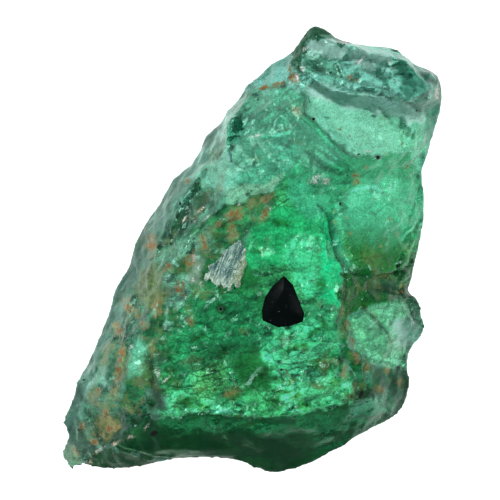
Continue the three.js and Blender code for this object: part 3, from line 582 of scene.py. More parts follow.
face("chip's pale foot", (0.3, 0.68, 0.5), haze_and_glow=0.08, soft=0.6, outline=[
    (9.0, -10.4), (10.2, -10.2), (10.6, -11.2), (9.0, -12.0), (7.2, -12.2), (7.2, -11.2),
])
face("band top", (0.04, 0.32, 0.13), frost=0.1, soft=0.8, outline=[
    (-6.6, -12.2), (-3.5, -11.8), (-0.2, -12.2), (6.5, -11.6), (6.0, -12.8), (2.0, -13.0), (-0.5, -13.1),
    (-6.0, -12.9),
])
face("band end", (0.03, 0.27, 0.12), frost=0.1, soft=1.2, outline=[
    (5.0, -12.8), (8.4, -11.3), (10.4, -12.3), (8.2, -13.9), (4.6, -15.0),
])
face("low corner", (0.03, 0.15, 0.09), grain=0.9, frost=0.1, soft=0.4, outline=[
    (-7.2, -10.0), (-8.0, -10.8), (-8.8, -11.2), (-9.8, -12.6), (-8.6, -13.2), (-7.2, -12.3), (-6.9, -11.0),
])
face("pale band", (0.28, 0.5, 0.36), grain=0.35, frost=0.15, haze_and_glow=0.08, soft=0.6, outline=[
    (-7.2, -0.9), (-6.0, 0.1), (-4.2, 1.0), (-2.9, 1.7), (-2.6, 0.7), (-3.9, -0.1), (-5.3, -0.9),
    (-6.7, -1.8),
])
face("lip", (0.07, 0.2, 0.07), soft=0.3, outline=[
    (-13.5, -16.1), (-12.4, -15.6), (-10.1, -14.1), (-9.2, -14.4), (-6.4, -15.1), (-0.6, -15.3),
    (-3.5, -16.1), (-10.6, -16.4),
])
face("pale window", (0.3, 0.8, 0.55), frost=0.2, haze_and_glow=0.06, soft=0.8, outline=[
    (-8.6, -8.8), (-8.6, -7.0), (-7.9, -6.4), (-7.3, -7.2), (-7.4, -8.6), (-7.9, -9.0),
])
face("crushed patch", (0.14, 0.31, 0.22), grain=0.9, frost=0.2, haze_and_glow=0.12, soft=0.4, outline=[
    (-6.1, -1.9), (-5.5, -1.5), (-4.2, -2.0), (-4.1, -3.0), (-4.9, -3.9), (-6.0, -3.8),
])
face("lobe shadow", (0.16, 0.52, 0.4), grain=0.8, frost=0.15, soft=0.4, outline=[
    (-1.5, 8.6), (-0.9, 9.5), (-0.2, 10.0), (-0.5, 8.4), (-1.3, 7.4),
])
face("below the crown", (1.0, 1.0, 1.0), grain=0.1, frost=0.5, haze_and_glow=0.03, outline=[
    (4.2, 11.9), (5.4, 11.8), (6.4, 11.3), (7.4, 11.0), (8.8, 10.9), (10.2, 10.7), (11.6, 10.2), (12.4, 9.3),
    (11.4, 9.0), (10.2, 9.6), (8.8, 9.8), (7.0, 10.1), (5.4, 10.8), (4.2, 11.0),
])
face("crown's pale top", (1.0, 1.0, 1.0), grain=0.1, frost=0.26, haze_and_glow=0.4, soft=0.6, outline=[
    (7.2, 14.2), (8.4, 14.3), (9.8, 14.0), (10.0, 13.3), (8.6, 12.9), (7.4, 13.0),
])
face("crown shade", (0.36, 0.72, 0.58), grain=0.1, frost=0.28, haze_and_glow=0.03, soft=0.7, outline=[
    (3.8, 13.8), (5.2, 13.5), (6.6, 13.0), (6.6, 12.0), (5.2, 12.1), (4.0, 12.8),
])
# Painted shade in the corner of the pocket.
face("pocket's shaded corner", (0.02, 0.16, 0.1), frost=0.22, outline=[
    (-4.0, 3.8), (-3.0, 4.0), (-2.6, 3.2), (-3.2, 2.5), (-3.9, 2.8),
])
face("above the pocket", (0.2, 0.46, 0.36), haze_and_glow=0.08, soft=0.6, outline=[
    (-5.5, 3.1), (-4.7, 4.3), (-4.0, 4.0), (-4.0, 3.3), (-5.0, 2.9),
])
face("lobe's pale top", (0.3, 0.74, 0.55), grain=0.4, frost=0.28, haze_and_glow=0.05, soft=0.9, outline=[
    (-0.8, 10.4), (0.4, 11.6), (2.2, 11.7), (1.9, 10.9), (0.7, 10.0), (-0.4, 9.6),
])
face("shelf top", (0.07, 0.33, 0.13), grain=0.6, haze_and_glow=0.02, soft=0.9, outline=[
    (-2.9, 1.9), (-1.2, 3.1), (1.5, 3.3), (0.5, 1.8), (-0.6, 0.8), (-2.2, 0.9),
])
face("pale rim below", (0.22, 0.5, 0.4), frost=0.35, haze_and_glow=0.15, soft=0.8, outline=[
    (-13.4, -12.2), (-12.9, -10.8), (-12.1, -10.9), (-12.1, -12.2),
])
face("disc's pale edge", (0.25, 0.79, 0.51), grain=0.15, frost=0.28, haze_and_glow=0.03, soft=0.9, outline=[
    (6.9, 3.9), (8.4, 4.9), (10.4, 5.0), (10.8, 4.2), (9.0, 3.6), (7.4, 3.2),
])
face("strip's foot", (0.05, 0.4, 0.19), grain=0.5, soft=0.7, outline=[
    (7.6, -8.6), (8.8, -8.6), (8.8, -10.2), (7.6, -10.4),
])
face("pale tip", (0.17, 0.3, 0.2), grain=0.5, frost=0.35, haze_and_glow=0.12, soft=1.0, outline=[
    (-13.6, -15.4), (-12.9, -13.2), (-11.4, -12.8), (-10.8, -14.2), (-12.4, -15.2),
])
face("pale side of the lobe", (0.36, 0.76, 0.6), haze_and_glow=0.13, soft=0.7, outline=[
    (-0.6, 7.2), (-0.8, 5.2), (-1.3, 4.3), (-3.2, 4.6), (-4.2, 5.3), (-3.0, 6.2), (-2.0, 6.5), (-1.6, 7.3),
])
face("pale left rim", (0.32, 0.66, 0.52), frost=0.35, haze_and_glow=0.18, soft=0.9, outline=[
    (-12.4, -9.8), (-11.6, -8.4), (-10.4, -8.6), (-10.4, -9.6), (-11.6, -9.9),
])
face("brown foot", (0.06, 0.09, 0.04), grain=0.4, haze_and_glow=0.02, soft=1.0, outline=[
    (-11.2, -12.0), (-9.4, -11.6), (-8.8, -13.0), (-9.8, -14.0), (-11.4, -13.6),
])
face("low right shade", (0.03, 0.29, 0.11), grain=1.0, soft=0.7, outline=[
    (4.9, -7.4), (6.6, -7.0), (7.0, -8.7), (5.2, -8.8),
])
face("arch tip", (0.16, 0.74, 0.44), soft=0.8, outline=[
    (2.6, 4.2), (3.4, 4.9), (4.1, 4.6), (4.6, 3.8), (5.6, 3.7), (5.9, 2.6), (4.4, 2.2), (3.2, 3.0),
])
face("olive patch", (0.21, 0.2, 0.04), grain=0.4, haze_and_glow=0.03, soft=0.7, outline=[
    (-8.1, -3.3), (-8.0, -1.7), (-7.3, -0.9), (-6.3, -1.1), (-6.2, -3.4), (-6.9, -4.4),
])
face("beige patch", (0.3, 0.34, 0.22), grain=0.5, frost=0.45, haze_and_glow=0.2, outline=[
    (-4.2, -2.4), (-4.2, -0.6), (-3.8, 0.0), (-3.4, -0.9), (-3.5, -2.7),
])
face("yellow patch", (0.15, 0.56, 0.2), grain=1.0, frost=0.2, soft=0.9, outline=[
    (-3.9, -10.6), (-3.8, -8.9), (-3.0, -8.0), (-1.8, -7.8), (-1.5, -9.4), (-2.4, -10.4),
])
print(len(FACES), "faces")

# %% [markdown]
# Some things hold for several faces at once. Thin edges are painted paler, as where light shines through
# them, a dark green cover paints shade into the hollows, growth layers show near the crown, and old stains
# follow the rough places. Each table gives how much of that a face has.

# %% What faces share
BODY_TINT = (0.12, 0.35, 0.24)
RIM_GLOW_TINT = (0.72, 0.93, 0.89)
DARKEST_TINT = 0.005
LENS_SHADE_TAKES = (0.6, 0.58, 0.75)
WALL_TINT = (0.37, 0.78, 0.59)
WALL_FROST = 0.12
WALL_STAIN = 0.5
UNDERSIDE_TINT = (0.88, 0.98, 0.94)
UNDERSIDE_FROST = 0.35
# Painted light: how much paler the steep thin edges of these faces are painted.
THIN_EDGE_GLOW = {
    "left rim": 0.9, "right rim": 0.8, "knob": 0.5, "crown": 0.5, "shoulder": 0.6, "lobe": 0.4,
    "left slope": 0.1, "shoulder band": 0.3, "disc top": 0.25,
}
# Painted shade: how much a dark green cover darkens the hollows of these faces.
HOLLOW_SHADE = {
    "notch": 0.4, "notch heart": 0.45, "rusty strip": 0.4, "low chip": 0.3, "bottom band": 0.5,
    "band heart": 0.5, "lip": 1.0, "crown peak": 0.5, "pocket's shaded corner": 0.6, "pocket": 0.45,
}
LAYERED = {"crown": 1.0, "crown peak": 0.3, "shoulder": 0.4, "lobe": 0.3, "saddle": 0.3}
SMOOTH_SKINNED = {"crown": 0.5, "pocket": 0.5, "low chip": 0.5, "left rim": 0.5}
STAINED = {
    "left rim": 0.3, "left slope": 0.9, "rusty shelf": 0.55, "notch": 0.4, "disc foot": 0.12, "knob": 0.3,
    "rusty strip": 0.6, "low chip": 0.3, "low bright": 0.15, "low left": 0.2, "shoulder": 0.5, "lip": 0.4,
}
print(len(THIN_EDGE_GLOW), "thin faces,", len(HOLLOW_SHADE), "shaded_in_hollows,", len(LAYERED), "layered,", len(STAINED), "stained")

# %% [markdown]
# Cracks run through the stone where one layer broke off another. A crack seen edge on is a dark line of
# painted shade, and a sliver of crystal lifted beside it is a bright line of painted highlight, as where it
# catches the light. Each is a line through a few places, with its half width, how dark or bright it is, and
# how deep it is cut.

# %% Cracks with painted shade and slivers with painted highlights
# Painted shade: dark lines along cracks and creases, also cut in as grooves.
SHADED_CRACKS = [
    ([(0.4, 11.0), (1.2, 11.5), (2.2, 11.65), (3.4, 11.5)], 0.08, 0.65, 0.08),
    ([(3.7, 11.4), (4.0, 10.6), (3.9, 9.9), (4.6, 9.2)], 0.06, 0.5, 0.08),
    ([(3.6, 13.3), (4.6, 12.9), (5.6, 12.3), (6.6, 11.7), (8.6, 11.2), (10.2, 11.0)], 0.12, 0.55, 0.12),
    ([(4.0, 12.5), (5.4, 11.9), (6.2, 11.4), (6.9, 11.2), (8.0, 11.1)], 0.06, 0.6, 0.06),
    ([(4.6, 12.9), (5.9, 12.5), (7.2, 11.9), (8.8, 11.6)], 0.08, 0.5, 0.1),
    ([(6.0, 11.8), (7.2, 11.4), (8.8, 11.2), (10.0, 10.6)], 0.1, 0.45, 0.12),
    ([(6.6, 13.4), (7.8, 13.5), (8.6, 13.3)], 0.09, 0.5, 0.1),
    ([(8.4, 12.6), (9.4, 12.1), (10.6, 12.4), (11.4, 12.2)], 0.09, 0.5, 0.12),
    ([(9.0, 11.6), (10.2, 11.2), (11.2, 10.4), (12.0, 9.9)], 0.1, 0.45, 0.12),
    ([(11.6, 13.9), (11.9, 12.8), (12.7, 12.0), (13.3, 11.9)], 0.12, 0.5, 0.12),
    ([(9.2, 10.0), (10.0, 9.0), (10.6, 8.6), (10.9, 9.4)], 0.09, 0.6, 0.1),
    ([(3.9, 9.7), (4.8, 8.9), (5.8, 7.8), (6.9, 6.9), (7.6, 6.6)], 0.09, 0.45, 0.15),
    ([(4.1, 11.4), (4.4, 10.4), (4.0, 9.7), (3.0, 10.0), (2.6, 10.6)], 0.07, 0.65, 0.05),
    ([(4.1, 6.9), (5.2, 5.9), (6.4, 5.3), (6.9, 5.6)], 0.14, 0.55, 0.1),
    ([(4.9, 3.2), (5.6, 2.6), (5.9, 1.2), (6.2, -0.2), (7.0, -1.7)], 0.08, 0.4, 0.15),
    ([(7.0, -1.8), (6.8, -3.2), (6.6, -4.3), (6.2, -5.5)], 0.07, 0.5, 0.1),
    ([(5.9, 2.7), (5.9, 1.6), (6.1, 0.4), (6.6, -0.8), (7.4, -1.6), (8.8, -2.0), (10.2, -1.8), (11.4, -1.2)],
     0.07, 0.5, 0.12),
    ([(6.2, 3.6), (6.9, 3.0), (6.1, 2.4)], 0.08, 0.5, 0.1),
    ([(8.6, 4.3), (9.8, 4.0), (10.6, 3.6), (11.5, 3.4)], 0.05, 0.7, 0.05),
    ([(8.4, -2.5), (9.2, -2.9), (10.0, -2.7), (10.8, -3.0)], 0.2, 0.45, 0.12),
    ([(8.2, -4.0), (8.8, -4.7), (9.5, -5.5), (10.0, -6.0), (10.1, -6.4)], 0.09, 0.25, 0.08),
    ([(6.9, -5.0), (7.0, -5.6), (7.5, -6.0), (8.2, -6.1)], 0.03, 0.6, 0.04),
    ([(11.2, -5.0), (11.6, -4.6), (11.9, -5.2), (12.3, -5.2)], 0.06, 0.5, 0.06),
    ([(8.3, -7.6), (9.3, -8.0), (10.2, -8.2), (11.2, -8.6)], 0.05, 0.5, 0.08),
    ([(7.7, -9.6), (8.0, -10.4), (8.9, -10.0)], 0.28, 0.3, 0.12),
    ([(6.9, -10.5), (7.4, -10.4), (7.6, -10.7)], 0.14, 0.3, 0.08),
    ([(8.5, -7.5), (8.3, -8.9), (8.6, -10.0)], 0.08, 0.45, 0.1),
    ([(-8.1, -11.9), (-6.6, -11.85), (-5.1, -11.95), (-3.4, -11.6), (-1.6, -11.85), (-0.2, -12.0),
      (2.6, -11.9), (4.6, -11.4), (6.9, -11.0)], 0.05, 0.6, 0.06),
    ([(0.9, -12.0), (2.0, -12.3), (3.2, -12.2)], 0.16, 0.35, 0.08),
    ([(-10.2, -14.0), (-8.9, -14.3), (-6.6, -14.95), (-4.4, -14.9), (-1.2, -14.9)], 0.08, 0.55, 0.08),
    ([(-7.0, -12.3), (-7.4, -13.2), (-7.0, -14.1)], 0.35, 0.35, 0.15),
    ([(-6.9, -9.3), (-6.5, -10.4), (-6.2, -11.4)], 0.22, 0.35, 0.15),
    ([(-4.7, 1.3), (-4.6, 2.2), (-4.2, 3.0)], 0.32, 0.4, 0),
    ([(-3.9, 2.0), (-3.5, 2.7), (-3.0, 3.7)], 0.18, 0.3, 0),
    ([(1.4, 8.9), (0.6, 8.0), (0.2, 6.8), (0.6, 5.6)], 0.1, 0.6, 0.06),
    ([(-0.9, 10.2), (-0.2, 9.2), (0.4, 9.9), (1.6, 10.8)], 0.08, 0.6, 0.05),
    ([(2.0, 10.2), (2.8, 9.4), (3.6, 8.6)], 0.12, 0.55, 0.12),
    ([(-1.2, 6.4), (-0.4, 5.8), (0.5, 6.1)], 0.1, 0.55, 0.06),
    ([(1.1, 2.1), (1.7, 2.2), (2.1, 2.0)], 0.1, 0.5, 0.08),
    ([(-0.1, -2.6), (1.1, -2.4), (2.3, -3.0), (2.7, -3.6)], 0.05, 0.75, 0),
    ([(-0.5, 4.6), (0.4, 3.4), (0.2, 2.2), (-0.4, 0.9), (-0.5, -0.6)], 0.09, 0.7, 0.08),
]
# Painted highlights: bright lines where lifted slivers catch the light, also raised a little.
SLIVER_HIGHLIGHTS = [
    ([(4.7, 6.9), (5.4, 6.4), (6.2, 5.9), (6.8, 5.5)], 0.05, 2.2, 0.06),
    ([(4.3, 7.7), (5.0, 7.3), (5.9, 6.7), (6.6, 6.2)], 0.02, 2.0, 0.03),
    ([(4.9, 8.4), (5.6, 7.7), (6.1, 7.1)], 0.02, 1.9, 0.03),
    ([(0.6, 11.2), (1.6, 11.35), (2.4, 11.2)], 0.04, 1.9, 0.05),
    ([(2.6, 9.2), (2.9, 9.8), (3.1, 10.3)], 0.05, 1.7, 0.05),
    ([(6.1, 3.5), (7.0, 4.1), (7.9, 4.4), (8.8, 4.5), (9.4, 4.2)], 0.07, 1.7, 0.1),
    ([(6.2, 3.2), (6.5, 1.6), (6.8, 0.4), (7.2, -0.6)], 0.1, 1.5, 0.05),
    ([(4.6, 12.4), (5.6, 12.2), (6.8, 11.6), (8.0, 11.45)], 0.05, 1.9, 0.08),
    ([(5.3, 11.9), (6.2, 11.3), (7.0, 11.0)], 0.05, 1.9, 0.06),
    ([(7.6, 14.0), (8.5, 13.6), (9.4, 13.9), (10.0, 13.5)], 0.22, 1.4, 0.08),
    ([(9.6, 12.9), (10.2, 12.2), (10.9, 11.4)], 0.06, 1.5, 0.06),
    ([(9.9, 10.3), (10.8, 9.6), (11.6, 8.6), (11.2, 7.6)], 0.07, 1.4, 0.06),
    ([(0.9, 8.1), (1.9, 8.1), (2.9, 8.3)], 0.07, 2.0, 0.08),
    ([(-1.5, 10.4), (-1.6, 8.9), (-1.5, 7.6), (-1.4, 6.2)], 0.1, 1.9, 0.08),
    ([(2.0, 7.4), (2.8, 6.6), (3.4, 5.6)], 0.08, 1.5, 0.08),
    ([(-3.6, 2.3), (-3.2, 2.6), (-2.9, 3.1)], 0.05, 2.6, 0),
    ([(-4.0, 2.4), (-3.8, 3.0), (-3.5, 3.5)], 0.04, 2.4, 0),
    ([(-5.4, 1.6), (-5.2, 2.6), (-4.6, 3.6), (-3.8, 4.5)], 0.07, 2.0, 0.05),
    ([(-6.4, -11.6), (-4.9, -11.5), (-3.2, -11.3), (-1.4, -11.5)], 0.1, 1.7, 0.06),
    ([(-2.6, -12.2), (-2.55, -12.9), (-2.7, -13.4)], 0.06, 2.2, 0.04),
    ([(6.6, -4.0), (6.0, -2.9), (5.4, -1.4), (5.3, 0.4)], 0.14, 1.35, 0.08),
    ([(8.5, -7.4), (9.4, -7.8), (10.4, -8.0), (11.3, -8.3)], 0.05, 1.7, 0.08),
    ([(9.8, -9.0), (10.2, -9.6)], 0.04, 2.0, 0.04),
    ([(11.1, -9.8), (11.5, -9.2)], 0.04, 2.0, 0.04),
    ([(-10.3, -14.0), (-8.9, -14.1), (-7.0, -14.8), (-5.2, -14.8)], 0.05, 2.4, 0.05),
    ([(-8.4, -13.1), (-7.6, -12.4), (-7.2, -11.6)], 0.05, 2.5, 0.05),
]
print(len(SHADED_CRACKS), "cracks,", len(SLIVER_HIGHLIGHTS), "slivers")

# %% [markdown]
# Water has run into the cracks and left rust there, with olive films around it. Broken edges have white,
# crushed crystal, and white spots on them are painted glints. Dark lenses are painted shade where gaps lie
# deeper in the crystal, and a few grains of black mineral sit in the skin. These are small places in the
# colour, so each is a spot with its place, its reach in two directions and the way that it lies.

# %% Rust, films, crushed edges with painted glints, shaded lenses and grains
RUST = [
    (-7.1, 0.5, 0.45, 0.8, 20), (-6.5, -3.8, 0.35, 0.7, 5), (-7.5, -5.3, 0.3, 0.25, 0),
    (-8.6, -4.1, 0.3, 0.7, 40), (-9.4, -5.7, 0.2, 0.6, 30), (-9.3, -8.7, 0.28, 0.75, -5),
    (-9.2, -8.0, 0.2, 0.5, 15), (-9.6, -10.3, 0.2, 0.35, 0), (-10.3, -11.9, 0.3, 0.45, 0),
    (-9.9, -12.8, 0.5, 0.3, 30), (-9.1, -7.3, 0.2, 0.5, -10), (-1.0, 2.5, 0.6, 0.4, 30),
    (1.1, 2.5, 0.18, 0.45, -25), (1.2, 3.6, 0.5, 0.2, 35), (0.2, 3.3, 0.3, 0.3, 0),
    (-1.2, 1.2, 0.3, 0.5, 10), (-2.2, 1.8, 0.25, 0.2, 20), (-3.2, 0.4, 0.3, 0.5, 15),
    (-4.3, -0.9, 0.25, 0.6, 10), (-4.9, -2.6, 0.25, 0.5, 10), (-3.9, -0.7, 0.25, 0.5, 10),
    (-5.8, -1.2, 0.3, 0.3, 0), (2.2, 11.8, 0.6, 0.15, 8), (2.9, 12.8, 0.2, 0.25, 0),
    (3.2, 12.2, 0.35, 0.5, 20), (1.2, 11.6, 0.5, 0.15, 5), (7.2, 12.2, 0.22, 0.14, -20),
    (7.6, 12.0, 0.2, 0.1, 0), (11.6, 8.2, 0.12, 0.1, 0), (7.6, 5.3, 0.14, 0.14, 0),
    (7.6, 4.8, 0.16, 0.2, 0), (6.6, -4.4, 0.14, 0.3, 0), (10.9, -3.0, 0.25, 0.14, 10),
    (11.0, -2.6, 0.2, 0.1, 30), (7.0, -5.4, 0.2, 0.4, 0), (7.3, -6.5, 0.18, 0.4, 10),
    (7.6, -7.7, 0.22, 0.3, 30), (6.8, -8.6, 0.2, 0.4, 0), (8.4, -8.4, 0.2, 0.2, 0),
    (9.9, -8.6, 0.25, 0.2, 0), (9.4, -10.0, 0.3, 0.2, -30), (10.9, -9.6, 0.2, 0.3, 0),
    (-9.9, 0.2, 0.15, 0.2, 0), (-4.4, 4.9, 0.2, 0.15, 0), (-12.1, -12.8, 0.2, 0.3, 0),
    (-11.2, -13.8, 0.3, 0.2, 0), (-12.4, -14.6, 0.2, 0.2, 0), (13.8, 9.4, 0.14, 0.3, 0),
    (3.3, 9.8, 0.3, 0.4, 0), (-4.2, -5.0, 0.2, 0.3, 0), (-10.9, -10.2, 0.2, 0.3, 10),
    (-6.9, -7.0, 0.16, 0.4, 10), (5.8, 8.9, 0.08, 0.07, 0), (6.4, 8.5, 0.12, 0.07, -30),
    (7.1, 8.0, 0.08, 0.08, 0), (7.6, 7.5, 0.12, 0.07, -20), (8.4, 6.95, 0.14, 0.06, 0),
    (9.7, 6.85, 0.14, 0.06, 5), (10.4, 7.0, 0.07, 0.1, 0), (10.9, 7.6, 0.09, 0.13, -10),
    (11.0, 8.4, 0.08, 0.1, 0), (10.3, 8.0, 0.07, 0.06, 0), (8.3, 5.9, 0.1, 0.08, 0),
    (11.3, 5.9, 0.08, 0.1, 0), (6.1, 2.0, 0.08, 0.14, 0), (6.9, 2.3, 0.07, 0.1, 0),
    (7.2, 1.2, 0.08, 0.08, 0), (8.8, 3.6, 0.07, 0.07, 0), (10.0, 2.2, 0.12, 0.08, 0),
    (10.6, 1.1, 0.07, 0.09, 0), (11.4, 2.1, 0.06, 0.1, 0), (9.4, 0.3, 0.07, 0.07, 0),
]
FILM = [
    (9.7, 6.6, 0.3, 0.12, 0), (8.2, 7.1, 0.3, 0.12, 5), (10.3, 7.1, 0.14, 0.2, 0),
    (10.9, 7.9, 0.2, 0.25, -20), (6.6, 8.2, 0.3, 0.16, -30), (9.2, 9.6, 0.2, 0.5, 30),
    (7.0, 3.9, 0.2, 0.4, -25), (6.1, 2.5, 0.14, 0.2, 0), (6.8, 1.8, 0.14, 0.12, 0),
    (7.4, 0.1, 0.12, 0.14, 0), (10.6, 2.5, 0.16, 0.12, 0), (10.3, 1.7, 0.12, 0.16, 0),
    (4.6, -9.6, 0.4, 0.2, -10), (2.3, 8.6, 0.3, 0.2, 0), (-0.2, -5.7, 0.3, 0.2, 0),
    (5.0, -3.9, 0.1, 0.2, 0), (0.6, 6.4, 0.3, 0.2, 20), (9.4, -5.9, 0.2, 0.15, 0),
    (10.9, -6.9, 0.25, 0.2, 0), (9.0, -7.2, 0.2, 0.15, 30), (11.2, -4.6, 0.2, 0.15, 0),
    (5.9, -7.8, 0.5, 0.3, 10), (-3.0, -8.6, 0.5, 0.3, 20), (1.0, 0.4, 0.4, 0.3, 0),
    (8.1, -5.5, 0.3, 0.2, 30), (9.9, -4.7, 0.25, 0.15, -20), (8.5, -6.6, 0.2, 0.25, 0),
    (3.2, -9.0, 0.3, 0.5, 60), (6.1, -9.9, 0.3, 0.2, 0), (-1.3, -10.4, 0.4, 0.3, 0), (3.3, 7.4, 0.3, 0.5, 0),
]
# Crushed white crystal, with painted glints where broken edges catch the light.
CRUSHED_AND_GLINT_SPOTS = [
    (4.0, 14.3, 0.2, 0.12, 30), (5.3, 14.7, 0.25, 0.07, -10), (7.9, 13.4, 0.14, 0.4, -35),
    (13.4, 11.2, 0.2, 0.6, 0), (-3.9, -0.5, 0.14, 0.3, 10), (-3.6, -1.3, 0.12, 0.35, -15),
    (-4.0, -2.1, 0.14, 0.2, 20), (-3.4, -2.4, 0.1, 0.2, 0), (3.8, 12.9, 0.22, 0.25, 0),
    (3.4, 12.2, 0.16, 0.3, 20), (10.2, 12.8, 0.16, 0.1, 0), (4.7, 5.0, 0.5, 0.3, 20),
    (5.4, 4.9, 0.3, 0.28, 0), (-3.4, 2.9, 0.4, 0.1, 35), (-3.0, 2.3, 0.35, 0.08, 40),
    (-4.6, 2.2, 0.3, 0.08, 60), (-10.9, -14.5, 0.6, 0.12, 35), (-9.6, -13.9, 0.5, 0.1, 20),
    (-8.5, -13.4, 0.3, 0.1, 10), (-11.6, -15.3, 0.25, 0.2, 0), (-7.3, -12.6, 0.3, 0.08, 60),
    (-6.5, -8.6, 0.1, 0.45, 25), (-5.9, -9.2, 0.3, 0.07, 40), (0.5, 8.1, 0.5, 0.1, 10),
    (1.9, 4.9, 0.12, 0.12, 0), (-0.7, 3.2, 0.1, 0.1, 0), (8.4, 7.0, 0.3, 0.08, 0),
    (6.9, 0.3, 0.06, 0.06, 0), (-1.9, 2.2, 0.1, 0.1, 0), (-8.4, -6.9, 0.1, 0.14, 0),
    (1.5, 2.9, 0.08, 0.1, 0),
]
# Painted shade: dark lens-shaped spots where gaps lie deeper in the crystal.
SHADED_LENSES = [
    (3.4, -6.9, 0.6, 0.2, 10), (2.4, -10.1, 0.4, 0.2, 0), (1.9, -10.8, 0.45, 0.2, -10),
    (3.9, -11.1, 0.4, 0.22, -20), (7.0, -10.5, 0.4, 0.3, 0), (8.0, -10.0, 0.35, 0.3, 40),
    (5.2, -8.2, 0.6, 0.3, 0), (1.1, -8.8, 0.5, 0.25, 35), (5.1, -2.4, 0.28, 0.25, 0),
    (0.0, -12.4, 0.6, 0.16, 15), (-5.6, -8.6, 0.35, 0.2, 0), (-5.9, -7.4, 0.5, 0.35, 0),
    (-5.6, -9.3, 0.5, 0.3, 0), (-1.1, -10.3, 0.5, 0.3, 0), (-5.0, -9.7, 0.4, 0.2, 0),
    (-4.5, -10.9, 0.6, 0.32, 20), (-6.7, -10.6, 0.4, 0.7, -20), (-8.0, -12.3, 0.6, 0.35, 30),
    (4.4, -7.9, 0.7, 0.07, 12), (6.1, -9.4, 0.3, 0.3, 0), (2.9, -9.4, 0.4, 0.14, 20),
    (-2.0, -4.2, 0.28, 0.25, 0), (-7.2, -8.0, 0.3, 0.6, 10), (0.6, -0.1, 0.3, 0.15, 0),
    (2.2, -9.3, 0.4, 0.16, -25), (1.6, 3.6, 0.35, 0.2, 0), (2.2, 1.9, 0.5, 0.2, -10),
    (5.3, -5.3, 0.16, 0.4, 20), (4.6, -5.9, 0.4, 0.12, 35), (5.0, -9.7, 0.35, 0.14, -10),
    (4.5, -3.6, 0.2, 0.14, 0), (6.4, -8.0, 0.3, 0.2, 30), (3.4, -10.4, 0.3, 0.16, 15),
    (-3.2, -11.2, 0.5, 0.18, -10), (-1.8, -7.2, 0.4, 0.2, 20), (0.2, -9.2, 0.35, 0.18, 30),
    (-3.6, -6.2, 0.35, 0.16, 15),
]
BLACK_GRAINS = [
    (4.55, 9.25, 0.16, 0.11, 25), (7.7, 6.75, 0.17, 0.08, 5), (9.15, 6.55, 0.15, 0.15, 0),
    (8.8, 6.6, 0.12, 0.07, 0), (6.5, 3.3, 0.1, 0.17, -35), (6.95, 5.3, 0.1, 0.08, 0),
    (-4.9, 3.3, 0.1, 0.2, 20), (-4.0, 2.1, 0.3, 0.07, 30), (-2.0, -4.2, 0.17, 0.17, 0),
    (-11.9, -9.4, 0.1, 0.1, 0), (-6.8, -13.1, 0.3, 0.2, 30), (8.0, -10.3, 0.2, 0.3, -30),
    (11.9, 9.9, 0.1, 0.1, 0), (5.2, -4.0, 0.07, 0.2, -30), (-1.0, -2.7, 0.1, 0.12, 0),
    (2.3, -8.5, 0.25, 0.1, 0),
]


def spots_mask(spots, kinds, raggedness, spread=1.0):
    """How much of each point is covered by these spots, with ragged edges."""
    cover = np.zeros(len(spots))
    for x, y, reach_x, reach_y, turn in kinds:
        angle = math.radians(turn)
        across = (spots[:, 0] - x) * math.cos(angle) + (spots[:, 1] - y) * math.sin(angle)
        along = (spots[:, 1] - y) * math.cos(angle) - (spots[:, 0] - x) * math.sin(angle)
        distance = np.sqrt((across / reach_x) ** 2 + (along / reach_y) ** 2) / spread
        cover = np.maximum(cover, 1 - smooth_step(0.4, 1.5, distance + raggedness))
    return cover


print(len(RUST), "rust spots,", len(FILM), "films,", len(CRUSHED_AND_GLINT_SPOTS), "crushed places")
print(len(SHADED_LENSES), "dark lenses,", len(BLACK_GRAINS), "black grains")

# %% [markdown]
# The stone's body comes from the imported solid. A voxel remesh turns its few thousand flat faces into an even
# net of small ones, fine enough to carry chips. A softening pass rounds the edges as wear does.

# %% The stone's body
VOXEL = 0.16 * MM
stone = copy_of_node("emerald", "emerald_stone")
apply_modifier(stone, "REMESH", mode="VOXEL", voxel_size=VOXEL)
apply_modifier(stone, "SMOOTH", factor=0.5, iterations=2)
print("stone:", len(stone.data.vertices), "points")

# %% [markdown]
# Every point now looks up which faces it is in. The edges of the faces are ragged, so that none of the
# outlines shows as a drawn line.


# %% Grain of each face
def face_masks(places):
    """For each face of the stone, how much of each point belongs to it."""
    spots = places[:, :2]
    ragged = 0.2 * waver(places, 1.3, 3) + 0.1 * waver(places, 0.5, 4)
    return {
        name: smooth_step(-look["soft"] / 2, look["soft"] / 2, depth_in(spots, look["outline"]) + ragged)
        for name, look in FACES.items()
    }


def painted(masks, key, start):
    """One value or colour for each point, painted face over face."""
    count = len(next(iter(masks.values())))
    values = np.tile(np.atleast_1d(np.array(start, float)), (count, 1))
    for name, look in FACES.items():
        cover = masks[name][:, None]
        values = values * (1 - cover) + np.atleast_1d(np.array(look[key], float)) * cover
    return values


def in_faces(shares):
    """The greatest of these shares among the faces that each point is in."""
    return np.maximum.reduce([share * masks[name] for name, share in shares.items()])


places = points_of(stone)
normals = normals_of(stone)
masks = face_masks(places)
grain = painted(masks, "grain", 0.4)[:, 0]
above_base = smooth_step(0.05, 0.6, places[:, 2])
print("mean grain:", round(float(grain.mean()), 2))

# %% [markdown]
# Glassy crystal chips in shallow shells. The space around the stone is cut into irregular cells, and each
# cell gives the skin in it one tilted dish. A broad pattern and a fine one lie over each other.


